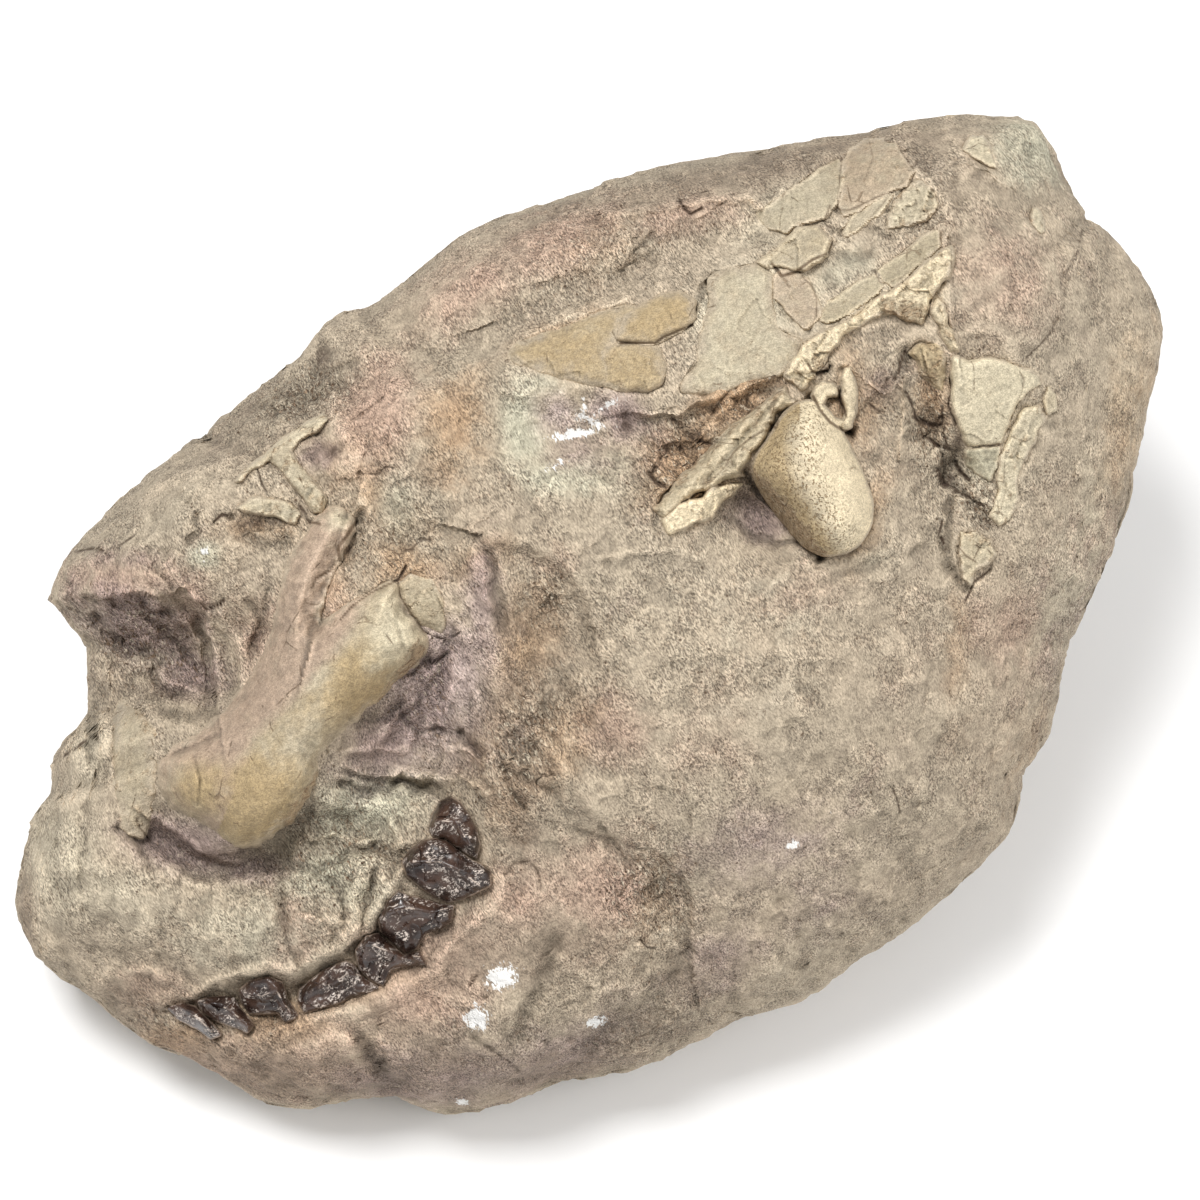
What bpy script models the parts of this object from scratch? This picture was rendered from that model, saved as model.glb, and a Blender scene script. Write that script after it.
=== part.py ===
"""Fossil oreodont skull, lying on its side in a nodule of its rock.

The nodule is one stone with a flat foot. Its upper side is carved back to the skull, so that the cheek
bone, the teeth, the broken bones of the skull roof, the ear region and the back of the skull stand in
pockets of the stone, each as its own solid.

The exposed side is laid out like a drawing: s runs right and t runs up in the plane of that side, both
in millimetres, and n is the height towards whoever looks at it. The plane is tilted, and its lines of
sight meet at an eye point straight in front of it; place() turns (s, t, n) into the object's frame.
"""

import math

import bmesh
import bpy
import numpy as np
from mathutils import Vector, noise

MM = 0.001

# The drawing plane: how it stands over the foot, and how far off its eye point is.
TURN = math.radians(-30)
TILT = math.radians(60)
EYE_DISTANCE = 600.0
CENTRE = Vector((1.1, 2.2, 62.0))

# The nodule: its rise in front of the plane and behind it, and how square its section is.
FRONT_RISE = 50.0
BACK_RISE = 74.0
FRONT_SQUARENESS = 2.4
BACK_SQUARENESS = 2.0
SPHERE_CUTS = 13
LUMP_HEIGHT = 1.6
LUMP_LENGTH = 24.0

# Bones and teeth: the clearance round them and under them, and how deep they are set.
GAP = 0.35
FLOOR_GAP = 0.8
POCKET_ABOVE = 16.0
SINK = 3.0
LOWEST_FLOOR = 2.5

RIGHT = Vector((math.cos(TURN), math.sin(TURN), 0))
UP = Vector((-math.sin(TURN) * math.sin(TILT), math.cos(TURN) * math.sin(TILT), math.cos(TILT)))
OUT = RIGHT.cross(UP)

OUTLINE = [
    (-110.4, 0), (-109.6, 4), (-106, 10.4), (-100, 16), (-92, 23.4), (-86, 28), (-82, 32), (-79, 32.6),
    (-73, 39), (-65, 45), (-60, 49), (-55, 55), (-51, 57.6), (-48, 57.8), (-42, 61), (-36, 66.4),
    (-27, 73.6), (-22, 76), (-11, 79), (-2, 82.4), (8, 86), (20, 88), (32, 90), (48, 93), (54, 93.6),
    (58, 95), (62, 96.2), (74, 96.8), (83.6, 96.8), (87, 95), (89.2, 92), (93, 85), (96.6, 78.8),
    (97, 76.4), (101, 74.4), (104, 71), (108, 66), (112, 58), (112.6, 54), (111.4, 46), (109, 38),
    (106.6, 24), (103.6, 13), (99, 2), (94, -8), (91, -20), (89, -28), (85, -35), (83.6, -40),
    (82, -47), (76, -53), (66, -62), (54, -71), (40, -80), (28, -84), (18, -89), (6, -94), (-8, -96),
    (-20, -101), (-24, -102.4), (-34, -102), (-41, -99.4), (-50, -99.6), (-58, -101.8), (-66, -100.8),
    (-72, -97.4), (-81, -92.4), (-90, -89), (-100, -80.4), (-108, -75.6), (-113, -71), (-116.4, -64),
    (-117, -60), (-116, -53), (-113.6, -46), (-113.2, -43), (-110, -39), (-109.6, -36), (-110, -33),
    (-107, -28), (-102.4, -23), (-102.6, -16), (-102.4, -9), (-106, -4),
]

# Each bone and tooth: its outline, its height over the stone, the width of its worn edge.
BONES = {
    "cheek_bone": (8.0, 3.4, [
        (-86.8, -31.4), (-87.6, -35.2), (-86, -39.8), (-82, -42.2), (-78.4, -44), (-74.8, -47.2),
        (-72, -48.6), (-67.6, -47), (-63, -43.6), (-60, -40), (-57.2, -34.8), (-57.6, -30.4),
        (-54.8, -28.2), (-50.8, -24.2), (-46.8, -20.6), (-43.6, -18), (-40.6, -14.6), (-36.6, -11.2),
        (-34.8, -8.4), (-36.8, -5.8), (-39.2, -3), (-40.8, -0.2), (-41.4, 3), (-44.8, 1.6), (-48.8, -1),
        (-53.6, -4.4), (-57.6, -7.2), (-56.4, 0.8), (-53, 8.8), (-50.4, 14), (-51, 16.8), (-54.8, 18),
        (-58.8, 12), (-62, 6), (-63.2, 0.4), (-64.2, -5), (-66.2, -10.4), (-69, -16), (-72.2, -20.4),
        (-78.8, -27.2),
    ]),
    "cheek_end": (1.8, 1.4, [
        (-40, 2.8), (-38, 4.6), (-34, 4), (-31.8, 0), (-31, -4.2), (-32, -6.2), (-35.8, -4.6),
        (-38.2, -2), (-39.8, 0.6),
    ]),
    "muzzle_plate": (1.6, 2.0, [
        (-95.2, -22.2), (-92, -22.4), (-90, -26), (-90.2, -34), (-90.8, -40), (-91.8, -46),
        (-94.4, -45), (-96.4, -38), (-97.4, -30), (-96.8, -25.2),
    ]),
    "tooth_1": (3.6, 1.2, [
        (-34, -45.8), (-33.2, -42.8), (-31.8, -40.6), (-29.8, -39.8), (-28.2, -40.8), (-26.6, -42.8),
        (-25, -45.8), (-24.4, -48.8), (-24.8, -51.4), (-26.4, -50.6), (-28.6, -49), (-30.8, -47.4),
        (-33.4, -47),
    ]),
    "tooth_2": (4.2, 1.5, [
        (-39.2, -52.4), (-37.6, -50), (-35.2, -48.4), (-33, -48), (-30.8, -48.6), (-28.6, -50.2),
        (-26.4, -52), (-24, -53.2), (-22.4, -54.4), (-22.2, -56.8), (-24.4, -58), (-27.6, -59.6),
        (-30.4, -60.2), (-33, -59), (-36, -57), (-38.4, -55),
    ]),
    "tooth_3": (4.0, 1.4, [
        (-44, -63.6), (-42.4, -60.6), (-40.2, -58.6), (-38.2, -59.6), (-36, -60), (-32.8, -60.8),
        (-29.6, -61.4), (-30, -64), (-32, -65.4), (-35, -66.4), (-37, -69.4), (-39, -70.2),
        (-41.2, -68.6), (-43.6, -66),
    ]),
    "tooth_4": (3.6, 1.2, [
        (-48.6, -70.2), (-46.6, -67.6), (-44.4, -67), (-42, -69.2), (-39.4, -71.4), (-36.2, -70.6),
        (-35.2, -72.6), (-39.6, -73), (-42, -73.8), (-43.4, -76.8), (-45.6, -75.8), (-47.8, -73.8),
    ]),
    "tooth_5": (3.6, 1.2, [
        (-60, -80.2), (-59.8, -78), (-57.4, -76), (-54.6, -74), (-51, -72.6), (-49.4, -73.2),
        (-47.2, -76), (-44.6, -77.6), (-46.8, -78.4), (-50, -79.2), (-53, -80.6), (-56.4, -81.6),
        (-59, -82.2),
    ]),
    "tooth_6": (3.4, 1.1, [
        (-71.8, -78.2), (-69.6, -76.4), (-66.4, -75.6), (-63.8, -76.8), (-62.8, -79.8), (-60.8, -83.2),
        (-62.8, -84.2), (-64.4, -82.2), (-67.4, -82.4), (-70, -82.4), (-71.4, -80.4),
    ]),
    "tooth_7": (3.0, 1.0, [
        (-80.2, -80.4), (-77.6, -79.6), (-73.4, -79.6), (-72.2, -81.8), (-69.6, -85), (-70.6, -86.2),
        (-73.6, -85), (-76.8, -83.8), (-79.2, -82.2),
    ]),
    "tooth_8": (2.6, 0.8, [
        (-86.2, -81.6), (-83.6, -81), (-81.2, -81.6), (-79.2, -83.6), (-76.2, -86.8), (-77.8, -87.4),
        (-80.8, -85.2), (-84.2, -83.6),
    ]),
    "brow_bone": (3.0, 1.5, [
        (-72.4, 25.8), (-64.4, 30.8), (-54, 36.8), (-52.8, 35.2), (-60, 29.6), (-61.2, 27.2),
        (-58.8, 22.4), (-56, 19.2), (-58, 18.8), (-62.4, 23.2), (-64.8, 28), (-71.2, 24),
    ]),
    "brow_chip": (2.2, 1.2, [
        (-72, 18.8), (-67.6, 20), (-60.8, 19.6), (-60, 16.4), (-64, 15.2), (-70.4, 16),
    ]),
    "temple_slab": (1.3, 1.2, [
        (-17.6, 49.6), (-10.4, 53.2), (0, 56.8), (7.2, 59), (3.8, 55.8), (2.6, 52.4), (-2, 50.4),
        (-8, 48.4), (-12.4, 46.8),
    ]),
    "temple_upper": (3.2, 1.8, [
        (4.2, 52.6), (5.4, 56.2), (9, 58.4), (12.2, 60.4), (15.6, 61), (18.2, 59.4), (18.4, 56.6),
        (15.8, 54.4), (12.8, 53), (10.6, 52), (7.6, 51.8),
    ]),
    "temple_lower": (2.6, 1.6, [
        (0.8, 49.4), (4, 50.8), (9.4, 50.6), (11.2, 49.4), (12, 46.8), (11.4, 44), (9.6, 42.6),
        (5.6, 42.6), (1.6, 43.8),
    ]),
    "roof_fan_left": (1.7, 0.9, [
        (32, 77.4), (35, 79.4), (40, 82.6), (44, 85.6), (47.4, 87.8), (48, 84), (46.8, 79.6),
        (44.4, 76.8), (40.2, 76.4), (36.6, 74), (34.2, 74.6), (32.8, 75.8),
    ]),
    "roof_fan_top": (2.0, 1.1, [
        (49, 87.4), (50.2, 89.6), (53.6, 91.8), (56, 91.6), (58.6, 90.6), (60.4, 88), (62.2, 85.6),
        (61, 83.2), (58.4, 82.4), (55.6, 80.8), (52, 78.4), (49.6, 77.4), (48.6, 79.2), (49.2, 83),
    ]),
    "roof_fan_right": (1.5, 0.9, [
        (58.2, 75), (59.4, 79), (61.6, 81.8), (63.6, 83), (66.2, 81.4), (66.8, 79), (64.4, 76.6),
        (61, 75.6),
    ]),
    "roof_sliver": (1.3, 0.7, [
        (49.4, 73.6), (50.8, 76.6), (54, 79), (57.8, 80.8), (56.6, 78.6), (53.6, 76), (51.2, 74.4),
    ]),
    "roof_raised": (3.2, 1.4, [
        (31.4, 67.6), (35, 70), (39.6, 74.4), (43.4, 74.8), (46, 72), (45.4, 68.8), (41, 66.2),
        (39.2, 66), (36, 66.8), (33.6, 66.6),
    ]),
    "roof_pale": (1.3, 1.3, [
        (17, 42.4), (20, 47), (20.8, 53), (23, 60), (22.4, 63.8), (27, 65.6), (31.8, 66.4),
        (33.8, 64.8), (33.4, 60), (34.4, 53.8), (38.8, 51), (39, 49), (36, 46), (30, 44.4), (27, 42.4),
        (22, 41.6),
    ]),
    "roof_flake": (1.3, 0.9, [
        (35, 64.6), (37.8, 65.6), (40.8, 64), (42.8, 60), (43.4, 56.6), (41.2, 55.2), (38.2, 57.8),
        (35.4, 60.8),
    ]),
    "roof_long_left": (1.6, 0.9, [
        (44.4, 56.4), (46, 59.8), (51, 62.8), (54.6, 64.6), (56.2, 62.8), (55.2, 61.4), (51, 58.4),
        (48, 56.4), (45.4, 55.6),
    ]),
    "roof_long_right": (1.7, 0.9, [
        (55.8, 65.8), (60, 68.6), (64.4, 72), (67.2, 73.4), (67.6, 70.8), (64.8, 67.8), (61.6, 65.4),
        (58.6, 63.2), (57, 64),
    ]),
    "crest_bone": (3.4, 1.3, [
        (69.4, 69.8), (70, 68.4), (68.6, 65), (66.2, 62), (65.2, 59), (64, 55.8), (61.6, 56.6),
        (59.6, 58.4), (56, 58.2), (52.4, 56.2), (48, 52.8), (45.2, 49.8), (42.4, 45.4), (40.6, 43.2),
        (38, 45.2), (39.2, 48.2), (41.8, 51.4), (46, 53.4), (50, 55.6), (55, 59.4), (60, 62),
        (63, 64.4), (66.4, 67.8),
    ]),
    "crest_leg": (2.2, 0.7, [
        (67.4, 60.2), (68.8, 58), (70.4, 53.4), (71.4, 50.4), (70, 50), (68.6, 53.2), (66.8, 57.6),
    ]),
    "crown_chip": (2.0, 0.9, [
        (72.6, 90), (74.2, 92.6), (76.6, 93), (78, 90.4), (79.2, 86.6), (77.4, 87.2), (75, 88.6),
    ]),
    "crown_sliver": (1.6, 0.7, [(86.2, 78.2), (87.8, 78.4), (88.8, 75.2), (88.6, 73), (87.2, 74.4)]),
    "rod_bone": (7.5, 3.0, [
        (39.4, 39.2), (36.6, 36.8), (34, 32), (30.4, 27.4), (31.8, 22.6), (36, 17), (40, 11.8),
        (43, 9.6), (47.2, 9), (51.4, 10.8), (54, 15), (54.4, 19.4), (52.4, 24.8), (49.6, 30.8),
        (45.8, 38), (42.6, 39.8),
    ]),
    "bar_bone": (4.4, 1.8, [
        (36.8, 41.6), (38, 39.6), (35.2, 37.6), (33, 33.2), (28.4, 26.8), (27.6, 24.8), (24.4, 24),
        (16, 20), (12.8, 17), (11.2, 18.4), (18, 26), (27, 35),
    ]),
    "bar_chip": (3.6, 1.1, [
        (12.8, 15.8), (16.2, 18.8), (25, 22.6), (28, 23.2), (23.8, 19.6), (22.4, 17.2), (17.2, 15.2),
        (13.8, 13.6),
    ]),
    "curl_bone": (3.0, 1.2, [
        (42.4, 44), (44.8, 46.2), (49.6, 47), (51.4, 44.4), (51.8, 40.2), (51.4, 36.4), (50.4, 33.6),
        (49, 35.2), (47.2, 38.6), (44, 41.4),
    ]),
    "nape_ochre": (3.0, 1.3, [
        (61.6, 49.4), (63.6, 51.4), (66.8, 51.8), (68.6, 49.8), (69, 45.6), (68.8, 41.4), (66.8, 42.6),
        (65, 44.4), (63.6, 47.2),
    ]),
    "nape_plate": (3.2, 1.6, [
        (70.6, 48.6), (73.6, 48), (78, 48.4), (82, 47.4), (87.6, 44.8), (88.2, 43), (85.6, 41.6),
        (83.8, 39.8), (82, 36), (80.2, 31.4), (73.6, 30.8), (71.6, 35), (70.4, 40), (70, 44.8),
    ]),
    "nape_green": (2.4, 0.9, [
        (73.4, 29.8), (79.6, 30.4), (79.2, 26.2), (77.8, 24.2), (75.4, 25.2), (73.6, 27),
    ]),
    "nape_rim": (2.8, 0.9, [
        (83.2, 34.4), (85, 38.2), (87, 38.2), (87.8, 36), (86, 32), (84, 28), (82.6, 24), (82.8, 20),
        (81.6, 16.6), (80, 15.8), (78.8, 17.2), (80.2, 22), (80.6, 27.6), (81.6, 31),
    ]),
    "nape_sliver": (2.2, 0.8, [(89.6, 42.8), (91.2, 40.8), (91.4, 38), (89.6, 37.2), (88.8, 39.6)]),
    "nape_foot": (2.4, 1.0, [
        (71.8, 14), (75, 13.6), (78, 12), (79.2, 9.4), (77.8, 7.6), (75.8, 7), (74, 3.4), (72.8, 4.2),
        (72.2, 8.4),
    ]),
}


def place(s, t, n):
    """The point at drawing position s, t and height n, in metres in the object's frame."""
    spread = 1 - n / EYE_DISTANCE
    return (CENTRE + OUT * n + (RIGHT * s + UP * t) * spread) * MM


# ---- relief of the exposed side -------------------------------------------------------------------


def swell(s, t, middle, size, height, turn=0.0):
    """A smooth oval rise, or a hollow where height is negative."""
    c, d = math.cos(math.radians(turn)), math.sin(math.radians(turn))
    u, v = s - middle[0], t - middle[1]
    return height * np.exp(-(((u * c + v * d) / size[0]) ** 2) - ((v * c - u * d) / size[1]) ** 2)


def side_of(s, t, line):
    """Distance from a line of straight runs, positive on its left side."""
    best = np.full(np.shape(s), 1e9)
    signed = np.zeros(np.shape(s))
    for (s0, t0), (s1, t1) in zip(line, line[1:]):
        ds, dt = s1 - s0, t1 - t0
        along = np.clip(((s - s0) * ds + (t - t0) * dt) / (ds * ds + dt * dt), 0, 1)
        away = np.hypot(s - s0 - along * ds, t - t0 - along * dt)
        side = np.where(ds * (t - t0) - dt * (s - s0) >= 0, 1.0, -1.0)
        nearer = away < best
        signed = np.where(nearer, away * side, signed)
        best = np.minimum(best, away)
    return signed


def fold(s, t, line, width, height):
    """A rounded ridge along a line, or a groove where height is negative."""
    return height * np.exp(-((side_of(s, t, line) / width) ** 2))


def relief(s, t):
    """The big forms of the exposed side, as a height over its plain dome."""
    return (
        # brow, its undercut and the eye socket below it
        swell(s, t, (-84, 14), (22, 9), 5, 38)
        + swell(s, t, (-86, -10), (15, 8), -7)
        + swell(s, t, (-78, -15), (12, 11), -6, -20)
        # muzzle, with the furrow between it and the cheek
        + swell(s, t, (-102, -48), (11, 18), 4)
        + fold(s, t, [(-88, -46), (-76, -54), (-62, -52), (-50, -46)], 7, -6)
        + swell(s, t, (-80, -66), (22, 8), 4, -10)
        # deep hollow behind the cheek bone, and the worn slope beyond it
        + swell(s, t, (-36, -28), (13, 18), -15, -25)
        + fold(s, t, [(-23, 12), (-22, -8), (-23, -20), (-14, -34), (-2, -42)], 6, 4)
        + swell(s, t, (-8, -16), (9, 22), -4, 20)
        # lower jaw: ledge under the teeth, chin bulge and the broad flat flank
        + fold(s, t, [(-84, -80), (-66, -80), (-48, -74), (-32, -60)], 5, -3)
        + swell(s, t, (-26, -90), (26, 11), 7, 12)
        + swell(s, t, (-68, -90), (18, 8), 3, -12)
        + swell(s, t, (42, -24), (44, 34), 5, -30)
        # skull roof: swollen edge, long groove and the sunken field of broken plates
        + swell(s, t, (-8, 68), (34, 9), 5, 22)
        + fold(s, t, [(-56, 40), (-28, 54), (4, 66), (30, 74)], 6, -4)
        + swell(s, t, (36, 62), (34, 14), -3, 32)
        + swell(s, t, (-38, 36), (16, 12), 4, 30)
        # ear region and the swollen back of the skull
        + swell(s, t, (-2, 32), (11, 9), -4)
        + swell(s, t, (20, 34), (15, 7), -4, 40)
        + swell(s, t, (31, 14), (10, 8), -5, -30)
        + swell(s, t, (68, 26), (8, 16), -5, 20)
        + swell(s, t, (83, 64), (13, 15), 7)
        + swell(s, t, (102, 50), (8, 18), -4)
    )


def lumps(s, t, seed):
    """Slow natural unevenness, from -1 to 1."""
    flat_s, flat_t = np.ravel(s) / LUMP_LENGTH, np.ravel(t) / LUMP_LENGTH
    values = [noise.noise(Vector((a, b, seed))) for a, b in zip(flat_s, flat_t)]
    return np.reshape(values, np.shape(s))


RIM_ANGLES, RIM_RADII = np.array(sorted((math.atan2(t, s), math.hypot(s, t)) for s, t in OUTLINE)).T


def reach_at(angle):
    """How far the outline is from the middle of the drawing at an angle."""
    return np.interp(angle, RIM_ANGLES, RIM_RADII, period=2 * math.pi)


def ground(s, t):
    """Height of the stone's exposed side at drawing position s, t."""
    s, t = np.asarray(s, float), np.asarray(t, float)
    share = np.minimum(np.hypot(s, t) / reach_at(np.arctan2(t, s)), 1)
    dome = (1 - share**FRONT_SQUARENESS) ** (1 / FRONT_SQUARENESS)
    weight = np.clip(dome / 0.5, 0, 1)
    weight = weight * weight * (3 - 2 * weight)
    return FRONT_RISE * dome + weight * (relief(s, t) + LUMP_HEIGHT * lumps(s, t, 3.5))


# ---- solids ---------------------------------------------------------------------------------------


def new_object(name, bm, made_of=None):
    bmesh.ops.triangulate(bm, faces=bm.faces[:], quad_method="BEAUTY", ngon_method="BEAUTY")
    bmesh.ops.recalc_face_normals(bm, faces=bm.faces[:])
    mesh = bpy.data.meshes.new(name)
    bm.to_mesh(mesh)
    bm.free()
    obj = bpy.data.objects.new(name, mesh)
    bpy.context.scene.collection.objects.link(obj)
    if made_of:
        mesh.materials.append(made_of)
    mesh.shade_smooth()
    mesh.set_sharp_from_angle(angle=math.radians(38))
    return obj


def ball(cuts):
    """A ball of even triangles: an icosahedron with each edge cut the same number of times."""
    bm = bmesh.new()
    bmesh.ops.create_icosphere(bm, subdivisions=1, radius=1)
    bmesh.ops.subdivide_edges(bm, edges=bm.edges[:], cuts=cuts, use_grid_fill=True)
    for v in bm.verts:
        v.co.normalize()
    return bm


def stone(made_of):
    """The nodule: a ball drawn out to the outline, carved in front, rough behind and cut flat below."""
    bm = ball(SPHERE_CUTS)
    way = np.array([v.co for v in bm.verts])
    front = way[:, 2] > 0
    power = np.where(front, 2 / FRONT_SQUARENESS, 2 / BACK_SQUARENESS)
    angle = np.arctan2(way[:, 1], way[:, 0])
    flat = np.hypot(way[:, 0], way[:, 1]) ** power
    s = reach_at(angle) * flat * np.cos(angle)
    t = reach_at(angle) * flat * np.sin(angle)
    behind = np.where(front, 0, np.abs(way[:, 2]) ** power)
    rough = lumps(way[:, 0] * 60, way[:, 1] * 60, 9.5)
    n = np.where(front, ground(s, t), -BACK_RISE * behind * (1 + 0.1 * rough))
    shrink = 1 - 0.1 * np.abs(rough) * behind
    for v, s_at, t_at, n_at in zip(bm.verts, s * shrink, t * shrink, n):
        v.co = place(s_at, t_at, n_at)
    cut = bmesh.ops.bisect_plane(
        bm, geom=bm.verts[:] + bm.edges[:] + bm.faces[:], plane_co=(0, 0, 0), plane_no=(0, 0, -1),
        clear_outer=True,
    )
    rim = [e for e in cut["geom_cut"] if isinstance(e, bmesh.types.BMEdge)]
    bmesh.ops.contextual_create(bm, geom=rim)
    return new_object("matrix_block", bm, made_of)


def grown(outline, by):
    """The outline moved outwards, or inwards where by is negative, less so at its short sides."""
    turn = sum(a[0] * b[1] - b[0] * a[1] for a, b in zip(outline, outline[1:] + outline[:1]))
    sign = 1 if turn > 0 else -1
    moved = []
    for before, here, after in zip(outline[-1:] + outline[:-1], outline, outline[1:] + outline[:1]):
        before, here, after = Vector(before), Vector(here), Vector(after)
        short = 0.4 * min((here - before).length, (after - here).length)
        step = by if by > 0 else max(by, -short)
        one, two = (here - before).normalized(), (after - here).normalized()
        one, two = sign * Vector((one.y, -one.x)), sign * Vector((two.y, -two.x))
        middle = (one + two).normalized()
        moved.append(tuple(here + middle * step / max(middle.dot(one), 0.6)))
    return moved


def bed(outline):
    """A slanted floor under a bone, as n = a + b s + c t, below the ground at all its corners."""
    s, t = np.array(outline).T
    n = ground(s, t)
    slope = np.column_stack([np.ones_like(s), s - s.mean(), t - t.mean()])
    fit = np.linalg.lstsq(slope, n, rcond=None)[0]
    low = fit[0] - SINK + min((n - slope @ fit).min(), 0)

    def floor(s_at, t_at):
        return max(low + fit[1] * (s_at - s.mean()) + fit[2] * (t_at - t.mean()), LOWEST_FLOOR)

    return floor


def prism(name, outline, floor, tops, made_of=None):
    """A solid on a floor; tops are (inset, function giving n), the first one round its very edge."""
    bm = bmesh.new()
    rings = []
    for inset, height in [(0, floor)] + tops:
        ring = grown(outline, -inset) if inset else outline
        rings.append([bm.verts.new(place(s, t, float(height(s, t)))) for s, t in ring])
    bm.faces.new(rings[0])
    bm.faces.new(rings[-1])
    for low, high in zip(rings, rings[1:]):
        for i in range(len(low)):
            bm.faces.new((low[i - 1], low[i], high[i], high[i - 1]))
    return new_object(name, bm, made_of)


def bone(name, rise, edge, outline, made_of, pockets):
    """A bone standing in the stone, and the cutter which makes its pocket."""
    floor = bed(outline)
    tops = [
        (0, lambda s, t: ground(s, t) + 0.35 * rise),
        (0.45 * edge, lambda s, t: ground(s, t) + 0.8 * rise),
        (edge, lambda s, t: ground(s, t) + rise),
    ]
    made = prism(name, outline, floor, tops, made_of)
    cutter = prism(
        "pocket_" + name,
        grown(outline, GAP),
        lambda s, t: floor(s, t) - FLOOR_GAP,
        [(0, lambda s, t: ground(s, t) + POCKET_ABOVE)],
    )
    cutter.hide_render = True
    cutter.display_type = "WIRE"
    bpy.context.scene.collection.objects.unlink(cutter)
    pockets.objects.link(cutter)
    return made


def material(name, colour, roughness):
    made = bpy.data.materials.new(name)
    made.use_nodes = True
    shader = made.node_tree.nodes["Principled BSDF"]
    shader.inputs["Base Color"].default_value = (*colour, 1)
    shader.inputs["Roughness"].default_value = roughness
    shader.inputs["Metallic"].default_value = 0
    return made


def main():
    for obj in list(bpy.data.objects):
        bpy.data.objects.remove(obj)
    mudstone = material("mudstone", (0.42, 0.35, 0.27), 0.9)
    fossil_bone = material("fossil_bone", (0.6, 0.52, 0.34), 0.6)
    enamel = material("tooth_enamel", (0.06, 0.03, 0.02), 0.25)

    block = stone(mudstone)
    pockets = bpy.data.collections.new("pockets")
    bpy.context.scene.collection.children.link(pockets)
    for name, (rise, edge, outline) in BONES.items():
        bone(name, rise, edge, outline, enamel if name.startswith("tooth") else fossil_bone, pockets)
    carve = block.modifiers.new("pockets", "BOOLEAN")
    carve.operation = "DIFFERENCE"
    carve.solver = "EXACT"
    carve.operand_type = "COLLECTION"
    carve.collection = pockets


main()
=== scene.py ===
"""The looks of the fossil oreodont skull: its nodule, bones and teeth as fine meshes with their materials.

The exposed side is laid out like a drawing, as in the CAD: s runs right and t runs up in the plane of
that side, n is the height towards the camera, all in millimetres. The camera stands at the eye point.
"""

import math

import bmesh
import bpy
import numpy as np
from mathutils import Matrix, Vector, noise


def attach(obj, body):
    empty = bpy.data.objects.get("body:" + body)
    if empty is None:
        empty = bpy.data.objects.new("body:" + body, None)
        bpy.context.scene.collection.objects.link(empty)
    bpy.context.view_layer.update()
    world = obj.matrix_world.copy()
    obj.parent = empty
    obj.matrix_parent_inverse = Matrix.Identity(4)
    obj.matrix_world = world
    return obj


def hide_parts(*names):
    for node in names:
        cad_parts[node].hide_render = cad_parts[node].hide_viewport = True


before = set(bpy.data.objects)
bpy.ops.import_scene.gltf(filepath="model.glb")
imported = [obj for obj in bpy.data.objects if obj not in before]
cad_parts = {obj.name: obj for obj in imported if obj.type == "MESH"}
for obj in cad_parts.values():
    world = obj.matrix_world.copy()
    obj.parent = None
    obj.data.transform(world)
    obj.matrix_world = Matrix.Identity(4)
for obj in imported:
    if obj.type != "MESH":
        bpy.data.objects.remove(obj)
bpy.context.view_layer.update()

# ---- sizes ----------------------------------------------------------------------------------------
# Lengths are in millimetres and the turns of strokes in degrees, unless a comment says otherwise.

MM = 0.001

# The drawing: how its plane is turned and tilted, its middle, and how far off the eye is.
TURN = math.radians(-30)
TILT = math.radians(60)
EYE_DISTANCE = 600.0
CENTRE = np.array([1.1, 2.2, 62.0])
RIGHT = np.array([math.cos(TURN), math.sin(TURN), 0])
UP = np.array([-math.sin(TURN) * math.sin(TILT), math.cos(TURN) * math.sin(TILT), math.cos(TILT)])
OUT = np.cross(RIGHT, UP)
SHEET_WIDTH = 240.0
SENSOR_WIDTH = 36

# Floor and lamps, in metres and watts. A lamp: how far right, up and out it stands, its size, its power.
FLOOR_HALF_WIDTH = 3.0
FLOOR_DROP = 0.0003
LAMPS = {"key": (-0.24, 0.46, 0.85, 0.32, 9.0), "fill": (0.7, 0.05, 0.7, 0.6, 4.0)}
WORLD_LIGHT = 0.56
STUDIO_GAIN = 1.1

# The nodule. Its seams are the gaps round its bones, and it drops away under them.
FRONT_RISE = 50.0
BACK_RISE = 74.0
FRONT_SQUARENESS = 2.4
LUMP_HEIGHT = 1.6
LUMP_LENGTH = 24.0
BACK_UNEVENNESS = 0.1
SEAM_DEPTH = 0.9
BURIED_DEPTH = 2.0
NODULE_CREASE = 75

# Its mesh: cuts in each edge of the ball, the ball's share that makes the exposed side, how much that
# side's points crowd at the rim, and the triangles kept.
BALL_CUTS = 164
FRONT_SHARE = 0.7
RIM_CROWDING = 0.6
NODULE_TRIANGLES = 188000

# The bones and teeth: room round them on their grids, and how far their walls go down.
GRID_MARGIN = 1.5
WALL_DEPTH = 3.0
LEAST_THICKNESS = 1.0
BONE_CREASE = 55

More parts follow.
